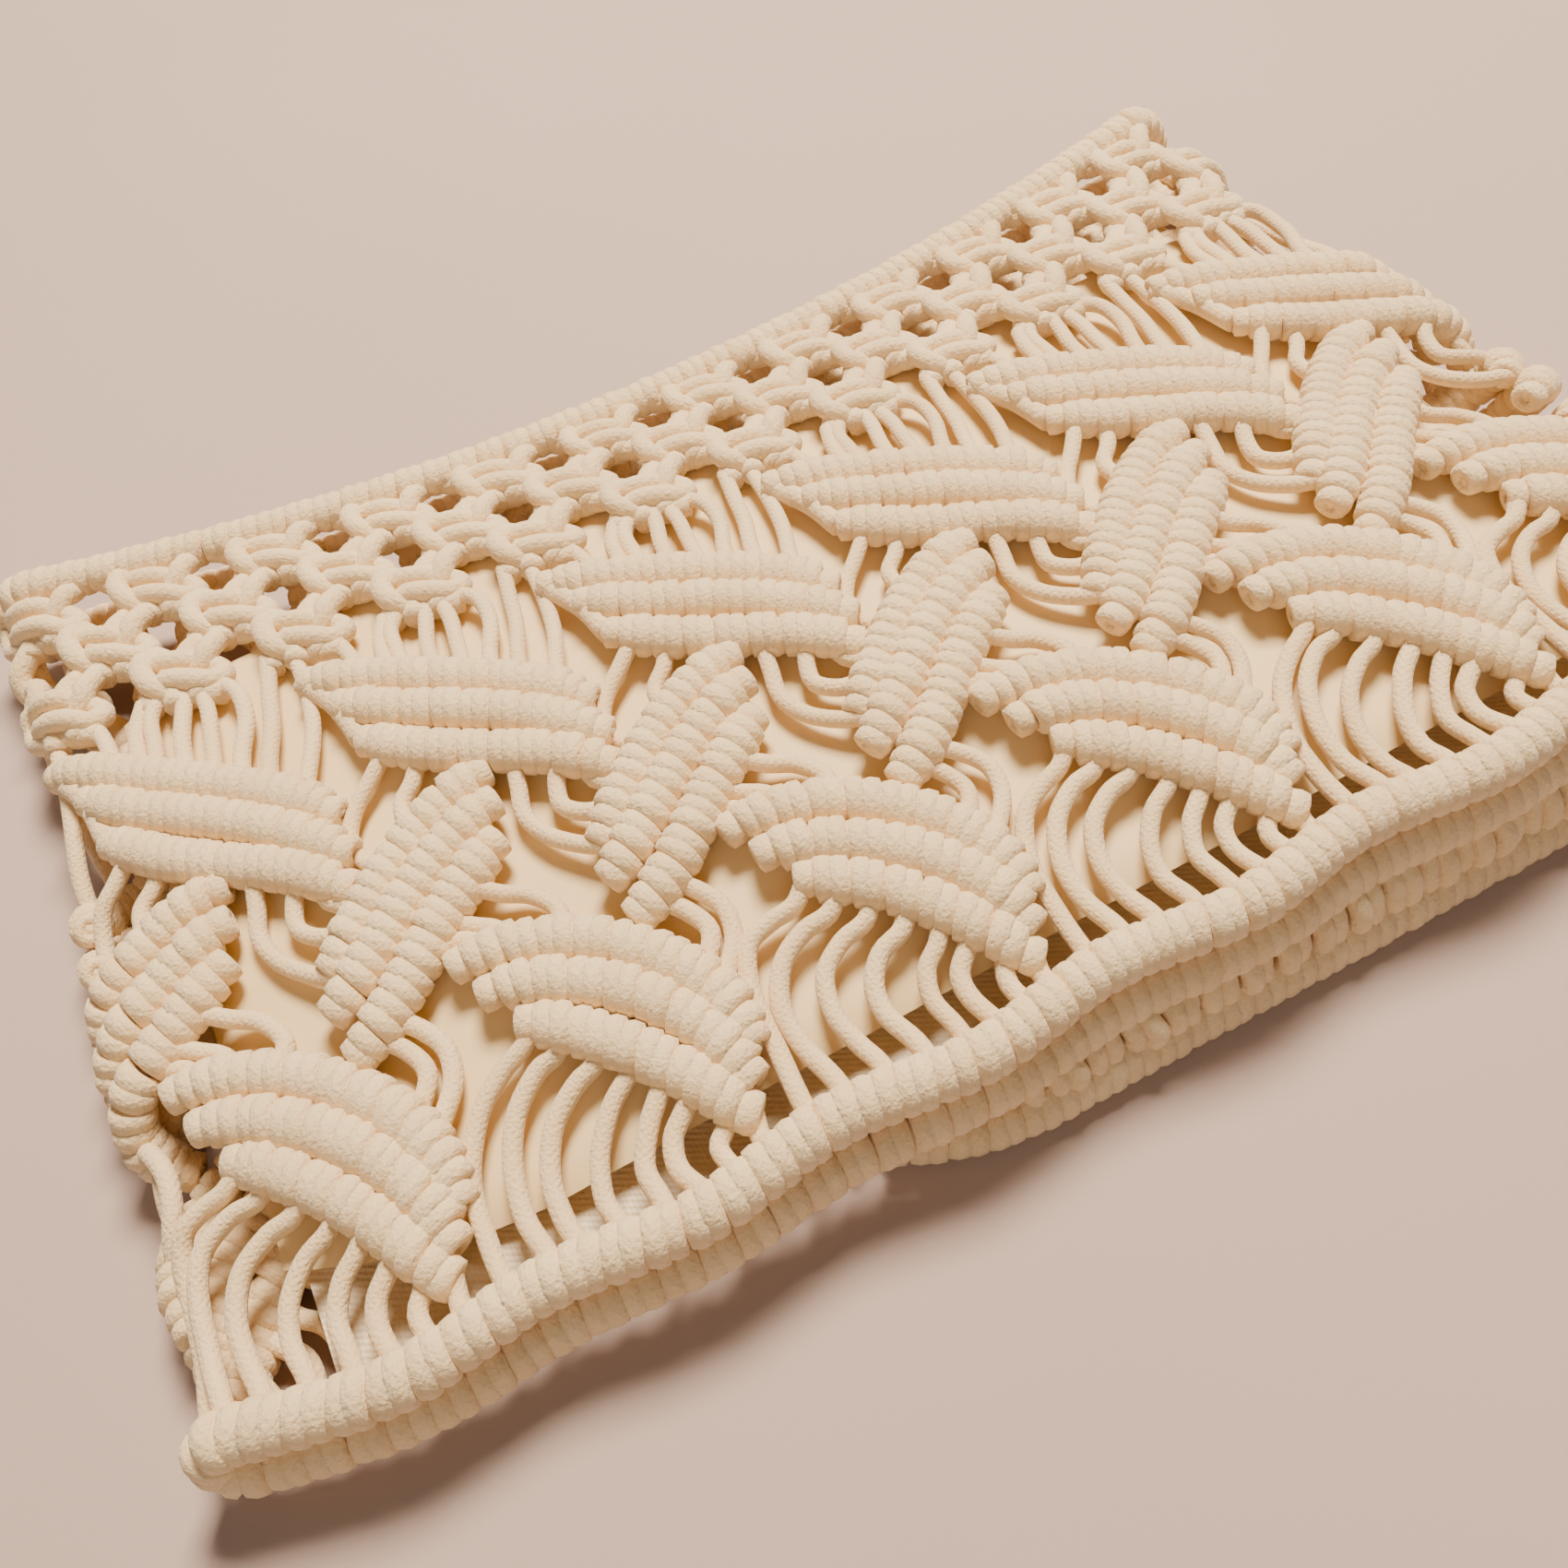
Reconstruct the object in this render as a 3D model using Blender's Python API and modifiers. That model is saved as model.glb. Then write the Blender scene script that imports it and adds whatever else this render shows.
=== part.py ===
"""Macrame clutch bag of cotton cord, lying on its back.

The bag is one tube of knotted cord, twelve repeats round, pressed flat: the
front lies up, the back lies down, and the tube folds at its two ends. X runs
along the bag, +Y runs from the closed bottom to the mouth, +Z points up, and
Z = 0 is the surface the bag lies on. All sizes are in metres.
"""

import math

import bmesh
import bpy
from mathutils import Vector

# Driving dimensions of the bag
BAG_WIDTH = 0.283  # over the two folded ends
REPEATS_FRONT = 6  # repeats of the leaf pattern on each side
PITCH_UP = 0.047  # one unit of the pattern's height
BAG_THICK_MID = 0.030  # over both sides, in the middle
THICK_BOTTOM_LEFT = 0.0186  # over both sides at the bottom edge, left end
THICK_BOTTOM_RIGHT = 0.029  # the same at the right end, where a gusset opens
THICK_MOUTH_MID = 0.0235  # over both sides at the middle of the mouth
THICK_MOUTH_END = 0.025  # over both sides at the ends of the mouth
MOUTH_BOW = 0.022  # how far the ends of the mouth stand out past its middle

# Cord and rib sizes
CORD = 0.003  # thickness of the knotted net
RIB = 0.0072  # diameter of a rib of wrapped cord
BAND_RISE = 0.0017  # how far the square knots stand above the net
LEAF_RISE = 0.0045  # how far a leaf's ribs stand above the net
GAP = 0.0003  # clearance between touching pieces
MOUTH_SEAT = 0.0007  # clearance between the knot bands and the bowed mouth ribs
LEAF_SEAT = 0.0008  # clearance between a leaf and the curved net below it

# Lining sizes
LINING_WALL = 0.001
LINING_SEAT = 0.0011  # clearance between the lining and the curved net above it
CLOTH_THICK = 0.001
LINING_SIDE = 0.019  # margin from the lining to the folded ends
CLOTH_SIDE = 0.021  # margin from the backing cloth to the folded ends

# Pattern heights, in pattern units from the lower leaves' left tips
LEVEL_BOTTOM_RIB = -1.107
LEVEL_BAND_LOW = 1.44
LEVEL_BAND_STEP = 0.10
LEVEL_HOLES = 2.05
LEVEL_MOUTH_RIB = 2.304
LEVEL_LINING_LOW = -0.82
LEVEL_LINING_HIGH = 1.92
LEVEL_CLOTH_LOW = -0.98
LEVEL_CLOTH_HIGH = 1.80

# Round the tube, in repeats: the left fold, and the part of a repeat that a fold takes
LEFT_FOLD = -0.5
FOLD_SHARE = 0.2

# Gusset at the bottom edge: its start along the front, in repeats, and its reach
GUSSET_START = 1.65
GUSSET_OUT_START = 0.0054
GUSSET_OUT_END = 0.0072
LEAN = 0.001  # how far the back bottom rib stands out past the front one

# Offsets from the middle of the net
HALF_CORD = CORD / 2
LEAF_BASE = HALF_CORD + LEAF_SEAT
LEAF_TOP = HALF_CORD + LEAF_RISE
RIB_OUT = LEAF_TOP - RIB / 2
CAP_STEP = 0.01  # first step of a rib from its end at a fold, in repeats

BOTTOM_LEVEL_EDGE = LEVEL_BOTTOM_RIB + (RIB / 2 + GAP) / PITCH_UP
MOUTH_LEVEL_EDGE = LEVEL_MOUTH_RIB - (RIB / 2 + MOUTH_SEAT) / PITCH_UP
RIGHT_FOLD = LEFT_FOLD + REPEATS_FRONT
MOUTH_REACH = MOUTH_BOW * ((BAG_WIDTH - RIB) / BAG_WIDTH) ** 2
Y_SHIFT = -(LEVEL_MOUTH_RIB + LEVEL_BOTTOM_RIB) * PITCH_UP / 2 - (MOUTH_REACH - GUSSET_OUT_END) / 2
GUSSET_END = BAG_WIDTH / 2 - RIB  # the gusset rib's end, along X

# Leaf tables. A leaf has an axis from its start to its end, in repeats across and
# pattern units up, and three ribs. Each rib's row gives how far it starts and ends
# along the axis from the axis's own ends, and how far it lies to the side of the
# axis at its start, middle and end.
LEAVES = {
    "upper_leaf": {
        "axis": ((-0.27, 1.32), (0.51, 0.45)),
        "ribs": (
            {"from": 0.00, "to": 0.00, "start": 0.03, "middle": 0.18, "end": 0.07},
            {"from": 0.10, "to": 0.00, "start": -0.06, "middle": 0.03, "end": 0.00},
            {"from": 0.22, "to": 0.03, "start": -0.16, "middle": -0.12, "end": -0.07},
        ),
    },
    "middle_leaf": {
        "axis": ((0.045, 0.53), (-0.62, -0.15)),
        "ribs": (
            {"from": 0.07, "to": 0.02, "start": 0.08, "middle": 0.14, "end": 0.07},
            {"from": 0.00, "to": 0.00, "start": 0.00, "middle": 0.00, "end": 0.00},
            {"from": 0.07, "to": 0.07, "start": -0.08, "middle": -0.16, "end": -0.08},
        ),
    },
    "lower_leaf": {
        "axis": ((-0.157, -0.095), (0.375, -0.915)),
        "ribs": (
            {"from": 0.00, "to": 0.00, "start": 0.03, "middle": 0.19, "end": 0.07},
            {"from": 0.08, "to": 0.00, "start": -0.05, "middle": 0.03, "end": 0.00},
            {"from": 0.17, "to": 0.04, "start": -0.13, "middle": -0.12, "end": -0.07},
        ),
    },
}
RIB_HALF = RIB / 2 / PITCH_UP
LONGEST_TURN = 0.95  # the longest flat stretch of the net round the tube, in repeats
LONGEST_LEVEL = 0.65  # the longest flat stretch of the net up the bag, in pattern units
LEAF_SECTIONS = 6
TIP_SHARE = 0.5  # a rib's width at its tips, as a share of its full width
TIP_RISE = 0.55  # a rib's height at its tips, as a share of its full height
VALLEY_RISE = 0.6  # the height between two ribs, as a share of a rib's height
CREST_SHARE = 0.5  # the flat crest's half width, as a share of the rib's half width

# Openings of the net beside one repeat's leaves, in repeats across and pattern units up
NET_OPENINGS = {
    "under_knots_left": ((0.16, 1.37), (0.36, 1.37), (0.45, 1.12), (0.42, 1.04), (0.30, 1.22)),
    "under_knots_right": ((0.44, 1.37), (0.64, 1.37), (0.65, 1.00), (0.58, 0.80), (0.52, 1.00)),
    "above_middle_leaf": ((-0.42, 0.57), (-0.34, 0.80), (-0.25, 0.88), (-0.11, 0.72), (-0.29, 0.53)),
    "beside_middle_leaf": (
        (0.14, 0.47),
        (0.33, 0.42),
        (0.34, 0.18),
        (0.25, -0.14),
        (0.02, 0.06),
        (0.06, 0.26),
    ),
    "below_middle_leaf": ((-0.53, -0.30), (-0.28, -0.14), (-0.26, -0.32), (-0.46, -0.50), (-0.50, -0.62)),
}

# The fan of free cords between a lower leaf and the bottom rib: where its first and
# last cords leave the leaf, belly out to the left, and reach the rib
FAN = {
    "top": ((-0.14, -0.42), (0.34, -0.95)),
    "belly": ((-0.44, -0.68), (0.22, -0.96)),
    "foot": ((-0.47, -0.985), (0.36, -0.985)),
}
FAN_REACH = 0.78  # share of the fan's run that is open
FAN_GAPS_FRONT = 5
FAN_GAPS_BACK = 3
FAN_STRAND_SHARE = 0.36  # share of a fan's step that the strand takes

RIM_HOLES = (-0.03, 0.47)  # places of the small holes under the mouth, in repeats
RIM_HOLE_WIDE = 0.085
RIM_HOLE_TALL = 0.095

CREAM = (0.80, 0.72, 0.58, 1.0)
BEIGE = (0.72, 0.58, 0.38, 1.0)
SATIN = (0.78, 0.70, 0.55, 1.0)


def mix(a, b, t):
    """The value a share t of the way from a to b."""
    return a + (b - a) * t


def mix_point(a, b, t):
    """The 2D point a share t of the way from a to b."""
    return (mix(a[0], b[0], t), mix(a[1], b[1], t))


def level_share(level):
    """How far up the bag a pattern height lies, 0 at the bottom rib, 1 at the mouth rib."""
    return (level - LEVEL_BOTTOM_RIB) / (LEVEL_MOUTH_RIB - LEVEL_BOTTOM_RIB)


def bag_thickness(across, share):
    """Thickness over both sides, at -1 to 1 along the bag and 0 to 1 up it."""
    bottom = mix(THICK_BOTTOM_LEFT, THICK_BOTTOM_RIGHT, (across + 1) / 2)
    mouth = mix(THICK_MOUTH_MID, THICK_MOUTH_END, across**2)
    straight = mix(bottom, mouth, share)
    crown = BAG_THICK_MID - (THICK_BOTTOM_LEFT + THICK_BOTTOM_RIGHT + 2 * THICK_MOUTH_MID) / 4
    return straight + crown * 4 * share * (1 - share) * (1 - across**2)


def gusset_out(x):
    """How far the gusset stands out from the bottom rib at a place along the bag."""
    start = along_front(GUSSET_START)
    share = (x - start) / (GUSSET_END - start)
    return mix(GUSSET_OUT_START, GUSSET_OUT_END, max(0.0, min(1.0, share)))


def along_front(turn):
    """Rough place along X of a repeat on the front."""
    return mix(-1.0, 1.0, (turn - LEFT_FOLD) / REPEATS_FRONT) * (BAG_WIDTH / 2 - LEAF_TOP)


def fold_radius(side, share):
    """Radius of the net's middle where it folds over, at the left (-1) or right (1) end."""
    return bag_thickness(side, share) / 2 - LEAF_TOP


def place(turn, level, out):
    """The point at a place round the tube, a pattern height, and an offset outward."""
    share = level_share(level)
    turn = (turn - LEFT_FOLD) % (2 * REPEATS_FRONT)
    back = turn > REPEATS_FRONT
    run = 2 * REPEATS_FRONT - turn if back else turn
    side = -1 if run < REPEATS_FRONT / 2 else 1
    radius = fold_radius(side, share)
    flat_end = BAG_WIDTH / 2 - LEAF_TOP - radius
    from_fold = min(run, REPEATS_FRONT - run)
    flatness = min(1.0, from_fold / FOLD_SHARE)
    if from_fold < FOLD_SHARE:
        angle = math.pi / 2 * flatness
        lift = math.sin(angle) * (-1 if back else 1)
        x = side * (flat_end + (radius + out) * math.cos(angle))
        z = LEAF_TOP + radius + (radius + out) * lift
    else:
        left_end = BAG_WIDTH / 2 - LEAF_TOP - fold_radius(-1, share)
        right_end = BAG_WIDTH / 2 - LEAF_TOP - fold_radius(1, share)
        x = mix(-left_end, right_end, (run - FOLD_SHARE) / (REPEATS_FRONT - 2 * FOLD_SHARE))
        z = LEAF_TOP - out
        if not back:
            spread = x / (left_end if x < 0 else right_end)
            z = bag_thickness(spread, share) - LEAF_TOP + out
    across = x / (BAG_WIDTH / 2)
    y = Y_SHIFT + level * PITCH_UP + MOUTH_BOW * across**2 * max(share, 0.0)
    if back:
        y -= gusset_out(x) * gusset_open(x) * flatness * max(0.0, 1 - share) ** 3
    return Vector((x, y, z))


def gusset_open(x):
    """0 where the back bottom rib lies against the net, 1 where it is clear above it."""
    needed = 2 * RIB + LEAF_TOP + HALF_CORD + 2 * LEAF_SEAT
    clear = bag_thickness(x / (BAG_WIDTH / 2), 0.0) - needed
    share = max(0.0, min(1.0, clear / (RIB / 4)))
    return share * share * (3 - 2 * share)


def new_material(name, colour, roughness):
    """A plain material with the piece's colour."""
    material = bpy.data.materials.new(name)
    material.use_nodes = True
    shader = material.node_tree.nodes["Principled BSDF"]
    shader.inputs["Base Color"].default_value = colour
    shader.inputs["Roughness"].default_value = roughness
    shader.inputs["Metallic"].default_value = 0.0
    return material


def add_object(name, mesh, material, collection):
    """Put a mesh in the bag's collection under its node's name."""
    mesh.materials.append(material)
    obj = bpy.data.objects.new(name, mesh)
    collection.objects.link(obj)
    return obj


def face_outward(shape):
    """Point every face of a closed shape outward."""
    bmesh.ops.recalc_face_normals(shape, faces=shape.faces)
    if shape.calc_volume(signed=True) < 0:
        bmesh.ops.reverse_faces(shape, faces=shape.faces)


def filled_outline(outline, openings, half_thick):
    """A flat closed sheet with openings, from a filled 2D curve, as a mesh."""
    curve = bpy.data.curves.new("outline", "CURVE")
    curve.dimensions = "2D"
    curve.fill_mode = "BOTH"
    curve.extrude = half_thick
    for loop in (outline, *openings):
        spline = curve.splines.new("POLY")
        spline.points.add(len(loop) - 1)
        for point, (x, y) in zip(spline.points, loop):
            point.co = (x, y, 0.0, 1.0)
        spline.use_cyclic_u = True
    guide = bpy.data.objects.new("outline", curve)
    bpy.context.scene.collection.objects.link(guide)
    evaluated = guide.evaluated_get(bpy.context.evaluated_depsgraph_get())
    mesh = bpy.data.meshes.new_from_object(evaluated)
    bpy.data.objects.remove(guide)
    bpy.data.curves.remove(curve)
    return mesh


def cut_across(shape, axis, places):
    """Add edges where planes across an axis meet a shape, so that it can bend there."""
    normal = Vector((0.0, 0.0, 0.0))
    normal[axis] = 1.0
    for value in places:
        point = Vector((0.0, 0.0, 0.0))
        point[axis] = value
        geometry = shape.verts[:] + shape.edges[:] + shape.faces[:]
        cut = bmesh.ops.bisect_plane(shape, geom=geometry, plane_co=point, plane_no=normal, dist=1e-7)
        for piece in cut["geom_cut"]:
            if isinstance(piece, bmesh.types.BMEdge):
                piece.seam = True


def merge_between_cuts(shape):
    """Join the flat faces between the cuts, then split each into as few triangles as it takes."""
    bmesh.ops.dissolve_limit(
        shape,
        angle_limit=math.radians(0.5),
        verts=shape.verts,
        edges=shape.edges,
        delimit={"SEAM"},
    )
    bmesh.ops.triangulate(shape, faces=shape.faces)


def steps(low, high, longest):
    """Evenly spaced places between two ends, with no step above the longest."""
    count = max(1, math.ceil((high - low) / longest))
    return [mix(low, high, i / count) for i in range(1, count)]


def fold_places():
    """Where the folds start, bend and end, round the tube and on past its first fold."""
    places = []
    for i in range(3):
        fold = LEFT_FOLD + i * REPEATS_FRONT
        places += [fold + share * FOLD_SHARE for share in (-1, -0.5, 0, 0.5, 1)]
    return places


def bend_sheet(name, outline, openings, inner, outer, first_turn, material, collection):
    """A pierced sheet of the tube, from an outline in repeats and pattern units."""
    mesh = filled_outline(outline, openings, 0.5)
    shape = bmesh.new()
    shape.from_mesh(mesh)
    bpy.data.meshes.remove(mesh)
    bmesh.ops.remove_doubles(shape, verts=shape.verts, dist=1e-6)
    low, high = first_turn, first_turn + REPEATS_FRONT
    flat_low, flat_high = low + FOLD_SHARE, high - FOLD_SHARE
    levels = [v for _, v in outline]
    cut_across(shape, 0, [spot for spot in fold_places() if low < spot < high])
    cut_across(shape, 0, steps(flat_low, flat_high, LONGEST_TURN))
    cut_across(shape, 1, steps(min(levels), max(levels), LONGEST_LEVEL))
    merge_between_cuts(shape)
    for vert in shape.verts:
        out = outer if vert.co.z > 0 else inner
        vert.co = place(vert.co.x, vert.co.y, out)
    face_outward(shape)
    mesh = bpy.data.meshes.new(name)
    shape.to_mesh(mesh)
    shape.free()
    return add_object(name, mesh, material, collection)


def band_edge(first_turn, shift):
    """The stepped line between the knot band and the net, left to right round the tube."""
    low = first_turn + GAP / PITCH_UP
    high = first_turn + REPEATS_FRONT - GAP / PITCH_UP
    line = []
    start = LEAVES["upper_leaf"]["axis"][0][0]
    for i in range(REPEATS_FRONT + 1):
        left = start + round(first_turn - LEFT_FOLD) + i
        for turn, rise in ((left, 0.0), (left + 0.8, LEVEL_BAND_STEP)):
            if low < turn < high:
                line.append((turn, LEVEL_BAND_LOW + rise + shift))
    line.insert(0, (low, LEVEL_BAND_LOW + shift + 0.8 * LEVEL_BAND_STEP))
    line.append((high, LEVEL_BAND_LOW + shift + 0.8 * LEVEL_BAND_STEP))
    return line


def inside_half(loop, first_turn):
    """Whether an opening lies well inside one side of the bag."""
    margin = FOLD_SHARE / 2
    turns = [turn for turn, _ in loop]
    return min(turns) > first_turn + margin and max(turns) < first_turn + REPEATS_FRONT - margin


def fan_opening(turn, index, count):
    """The opening between two strands of a fan."""
    first = (index + FAN_STRAND_SHARE) / count * FAN_REACH
    last = (index + 1) / count * FAN_REACH
    rows = [FAN["foot"], FAN["belly"], FAN["top"]]
    left = [mix_point(*row, first) for row in rows]
    right = [mix_point(*row, last) for row in rows]
    return [(turn + u, v) for u, v in left + right[::-1]]


def net_openings(first_turn, fan_gaps):
    """Every opening of the net on one side of the bag."""
    loops = []
    base = round(first_turn - LEFT_FOLD)
    for i in range(-1, REPEATS_FRONT + 1):
        turn = base + i
        loops += [[(turn + u, v) for u, v in loop] for loop in NET_OPENINGS.values()]
        loops += [fan_opening(turn, index, fan_gaps) for index in range(fan_gaps)]
    return [loop for loop in loops if inside_half(loop, first_turn)]


def rim_openings(first_turn):
    """The small holes of the knot band on one side of the bag."""
    loops = []
    base = round(first_turn - LEFT_FOLD)
    wide, tall = RIM_HOLE_WIDE / 2, RIM_HOLE_TALL / 2
    for i in range(-1, REPEATS_FRONT + 1):
        for spot in RIM_HOLES:
            turn = base + i + spot
            loops.append(
                [
                    (turn - wide, LEVEL_HOLES - tall),
                    (turn + wide, LEVEL_HOLES - tall),
                    (turn + wide, LEVEL_HOLES + tall),
                    (turn - wide, LEVEL_HOLES + tall),
                ]
            )
    return [loop for loop in loops if inside_half(loop, first_turn)]


def add_side(side, first_turn, fan_gaps, material, collection):
    """The net and the square-knot band of one side of the bag."""
    low = first_turn + GAP / PITCH_UP
    high = first_turn + REPEATS_FRONT - GAP / PITCH_UP
    half_gap = GAP / PITCH_UP
    net = [(high, BOTTOM_LEVEL_EDGE), (low, BOTTOM_LEVEL_EDGE), *band_edge(first_turn, -half_gap)]
    band = [*band_edge(first_turn, half_gap), (high, MOUTH_LEVEL_EDGE), (low, MOUTH_LEVEL_EDGE)]
    openings = net_openings(first_turn, fan_gaps)
    bend_sheet(f"{side}_net", net, openings, -HALF_CORD, HALF_CORD, first_turn, material, collection)
    holes = rim_openings(first_turn)
    top = HALF_CORD + BAND_RISE
    bend_sheet(f"{side}_knot_band", band, holes, -HALF_CORD, top, first_turn, material, collection)


def leaf_section(leaf, share):
    """Cross-section of a leaf at a share of its length: (across, up, rise) for each corner."""
    start, end = (Vector(point) for point in leaf["axis"])
    along = (end - start).normalized()
    side = Vector((-along.y, along.x))
    if side.y < 0:
        side = -side
    length = (end - start).length
    bell = 4 * share * (1 - share)
    half = RIB_HALF * mix(TIP_SHARE, 1.0, min(1.0, 2 * bell))
    height = mix(TIP_RISE, 1.0, min(1.0, 2 * bell))
    centres = []
    for rib in leaf["ribs"]:
        bulge = rib["middle"] - (rib["start"] + rib["end"]) / 2
        offset = mix(rib["start"], rib["end"], share) + bulge * bell
        run = mix(rib["from"], length - rib["to"], share)
        centres.append(start + along * run + side * offset)
    corners = [(centres[0] + side * half, 0.0)]
    for i, centre in enumerate(centres):
        corners.append((centre + side * half * CREST_SHARE, height))
        corners.append((centre - side * half * CREST_SHARE, height))
        if i < len(centres) - 1:
            corners.append(((centre + centres[i + 1]) / 2, height * VALLEY_RISE))
    corners.append((centres[-1] - side * half, 0.0))
    return corners


def add_leaf(name, leaf, turn, material, collection):
    """A leaf of three wrapped ribs, lofted along its length on the outside of the net."""
    shape = bmesh.new()
    rows = []
    for i in range(LEAF_SECTIONS):
        corners = leaf_section(leaf, i / (LEAF_SECTIONS - 1))
        row = []
        for point, rise in corners:
            out = mix(LEAF_BASE, LEAF_TOP, rise)
            row.append(shape.verts.new((turn + point.x, point.y, out)))
        rows.append(row)
    for row, following in zip(rows, rows[1:]):
        for i in range(len(row)):
            j = (i + 1) % len(row)
            shape.faces.new((row[i], row[j], following[j], following[i]))
    shape.faces.new(rows[0])
    shape.faces.new(rows[-1])
    turns = [vert.co.x for vert in shape.verts]
    cut_across(shape, 0, [spot for spot in fold_places() if min(turns) < spot < max(turns)])
    bmesh.ops.triangulate(shape, faces=shape.faces)
    for vert in shape.verts:
        vert.co = place(*vert.co)
    face_outward(shape)
    mesh = bpy.data.meshes.new(name)
    shape.to_mesh(mesh)
    shape.free()
    return add_object(name, mesh, material, collection)


def add_rib(name, points, radii, material, collection):
    """A rib of wrapped cord: a bevelled curve through points, as a closed mesh."""
    curve = bpy.data.curves.new(name, "CURVE")
    curve.dimensions = "3D"
    curve.bevel_depth = RIB / 2
    curve.bevel_resolution = 2
    curve.use_fill_caps = True
    spline = curve.splines.new("POLY")
    spline.points.add(len(points) - 1)
    for point, place_of, radius in zip(spline.points, points, radii):
        point.co = (*place_of, 1.0)
        point.radius = radius
    guide = bpy.data.objects.new(name, curve)
    bpy.context.scene.collection.objects.link(guide)
    evaluated = guide.evaluated_get(bpy.context.evaluated_depsgraph_get())
    mesh = bpy.data.meshes.new_from_object(evaluated)
    bpy.data.objects.remove(guide)
    bpy.data.curves.remove(curve)
    shape = bmesh.new()
    shape.from_mesh(mesh)
    bmesh.ops.remove_doubles(shape, verts=shape.verts, dist=1e-5)
    face_outward(shape)
    shape.to_mesh(mesh)
    shape.free()
    mesh.shade_smooth()
    mesh.name = name
    return add_object(name, mesh, material, collection)


def rib_turns(first_turn):
    """Places round one side of the tube for a rib's points, closer together at the folds."""
    low = first_turn + GAP / PITCH_UP
    high = first_turn + REPEATS_FRONT - GAP / PITCH_UP
    fold = FOLD_SHARE / 3
    ends = [low, low + CAP_STEP, low + fold, low + 2 * fold]
    between = steps(low + FOLD_SHARE, high - FOLD_SHARE, LONGEST_TURN)
    flat = [low + FOLD_SHARE, *between, high - FOLD_SHARE]
    return ends + flat + [high - 2 * fold, high - fold, high - CAP_STEP, high]


def mouth_rib_points(first_turn):
    """Centre line of one side of the mouth rib."""
    return [place(turn, LEVEL_MOUTH_RIB, RIB_OUT) for turn in rib_turns(first_turn)]


def front_bottom_point(x):
    """Centre of the front bottom rib at a place along the bag."""
    across = x / (BAG_WIDTH / 2)
    y = Y_SHIFT + LEVEL_BOTTOM_RIB * PITCH_UP
    return Vector((x, y, bag_thickness(across, 0.0) - RIB / 2))


def bottom_rib_points(back):
    """Centre line of one bottom rib: the two lie one on the other and turn at the ends."""
    half_step = (RIB + GAP) / 2
    reach = BAG_WIDTH / 2 - RIB / 2 - half_step
    points = []
    for side in (-1, 1):
        centre = front_bottom_point(side * reach) - Vector((0.0, 0.0, half_step))
        turn = []
        up = -1 if back else 1
        for angle in (0.0, math.pi / 6, math.pi / 3):
            lean = LEAN * (1 - math.cos(angle)) if back else 0.0
            offset = Vector((side * math.cos(angle), 0.0, up * math.sin(angle))) * half_step
            turn.append(centre + offset + Vector((0.0, -lean, up * GAP / 2)))
        turn.insert(1, turn[0] + Vector((0.0, 0.0, up * GAP)))
        middle = []
        if side < 0:
            points += turn
            for x in [-reach, *steps(-reach, reach, PITCH_UP), reach]:
                middle.append(front_bottom_point(x))
                if back:
                    middle[-1] -= Vector((0.0, LEAN, 2 * half_step))
            points += middle
        else:
            points += turn[::-1]
    return points


def gusset_point(x):
    """Centre of the gusset rib at a place along the bag, lying on the floor."""
    y = Y_SHIFT + LEVEL_BOTTOM_RIB * PITCH_UP - gusset_out(x)
    return Vector((x, y, RIB / 2))


def gusset_places():
    """Places along the bag where the gusset rib is drawn."""
    start = along_front(GUSSET_START)
    return [start, *steps(start, GUSSET_END, PITCH_UP / 2), GUSSET_END]


def add_gusset_cords(material, collection):
    """The row of short cords between the back bottom rib and the gusset rib."""
    half_step = (RIB + GAP) / 2
    shape = bmesh.new()
    rows = []
    reach = RIB / 2 + GAP
    for x in gusset_places():
        upper = front_bottom_point(x) - Vector((0.0, LEAN, 2 * half_step))
        lower = gusset_point(x)
        drop = (lower - upper).normalized()
        if (lower - upper).length < 2 * reach + HALF_CORD:
            continue
        side = Vector((0.0, -drop.z, drop.y)) * HALF_CORD
        ends = (upper + drop * reach, lower - drop * reach)
        corners = (ends[0] + side, ends[0] - side, ends[1] - side, ends[1] + side)
        rows.append([shape.verts.new(corner) for corner in corners])
    for row, following in zip(rows, rows[1:]):
        for i in range(len(row)):
            j = (i + 1) % len(row)
            shape.faces.new((row[i], row[j], following[j], following[i]))
    shape.faces.new(rows[0])
    shape.faces.new(rows[-1])
    face_outward(shape)
    mesh = bpy.data.meshes.new("gusset_cords")
    shape.to_mesh(mesh)
    shape.free()
    return add_object("gusset_cords", mesh, material, collection)


def inner_front(x, y):
    """Height of the underside of the front net above a point of the floor."""
    across = x / (BAG_WIDTH / 2)
    bow = MOUTH_BOW * across**2
    share = (y - Y_SHIFT - LEVEL_BOTTOM_RIB * PITCH_UP) / (
        (LEVEL_MOUTH_RIB - LEVEL_BOTTOM_RIB) * PITCH_UP + bow
    )
    return bag_thickness(across, share) - LEAF_TOP - HALF_CORD


def level_y(level):
    """The Y of a pattern height at the middle of the bag."""
    return Y_SHIFT + level * PITCH_UP


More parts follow.
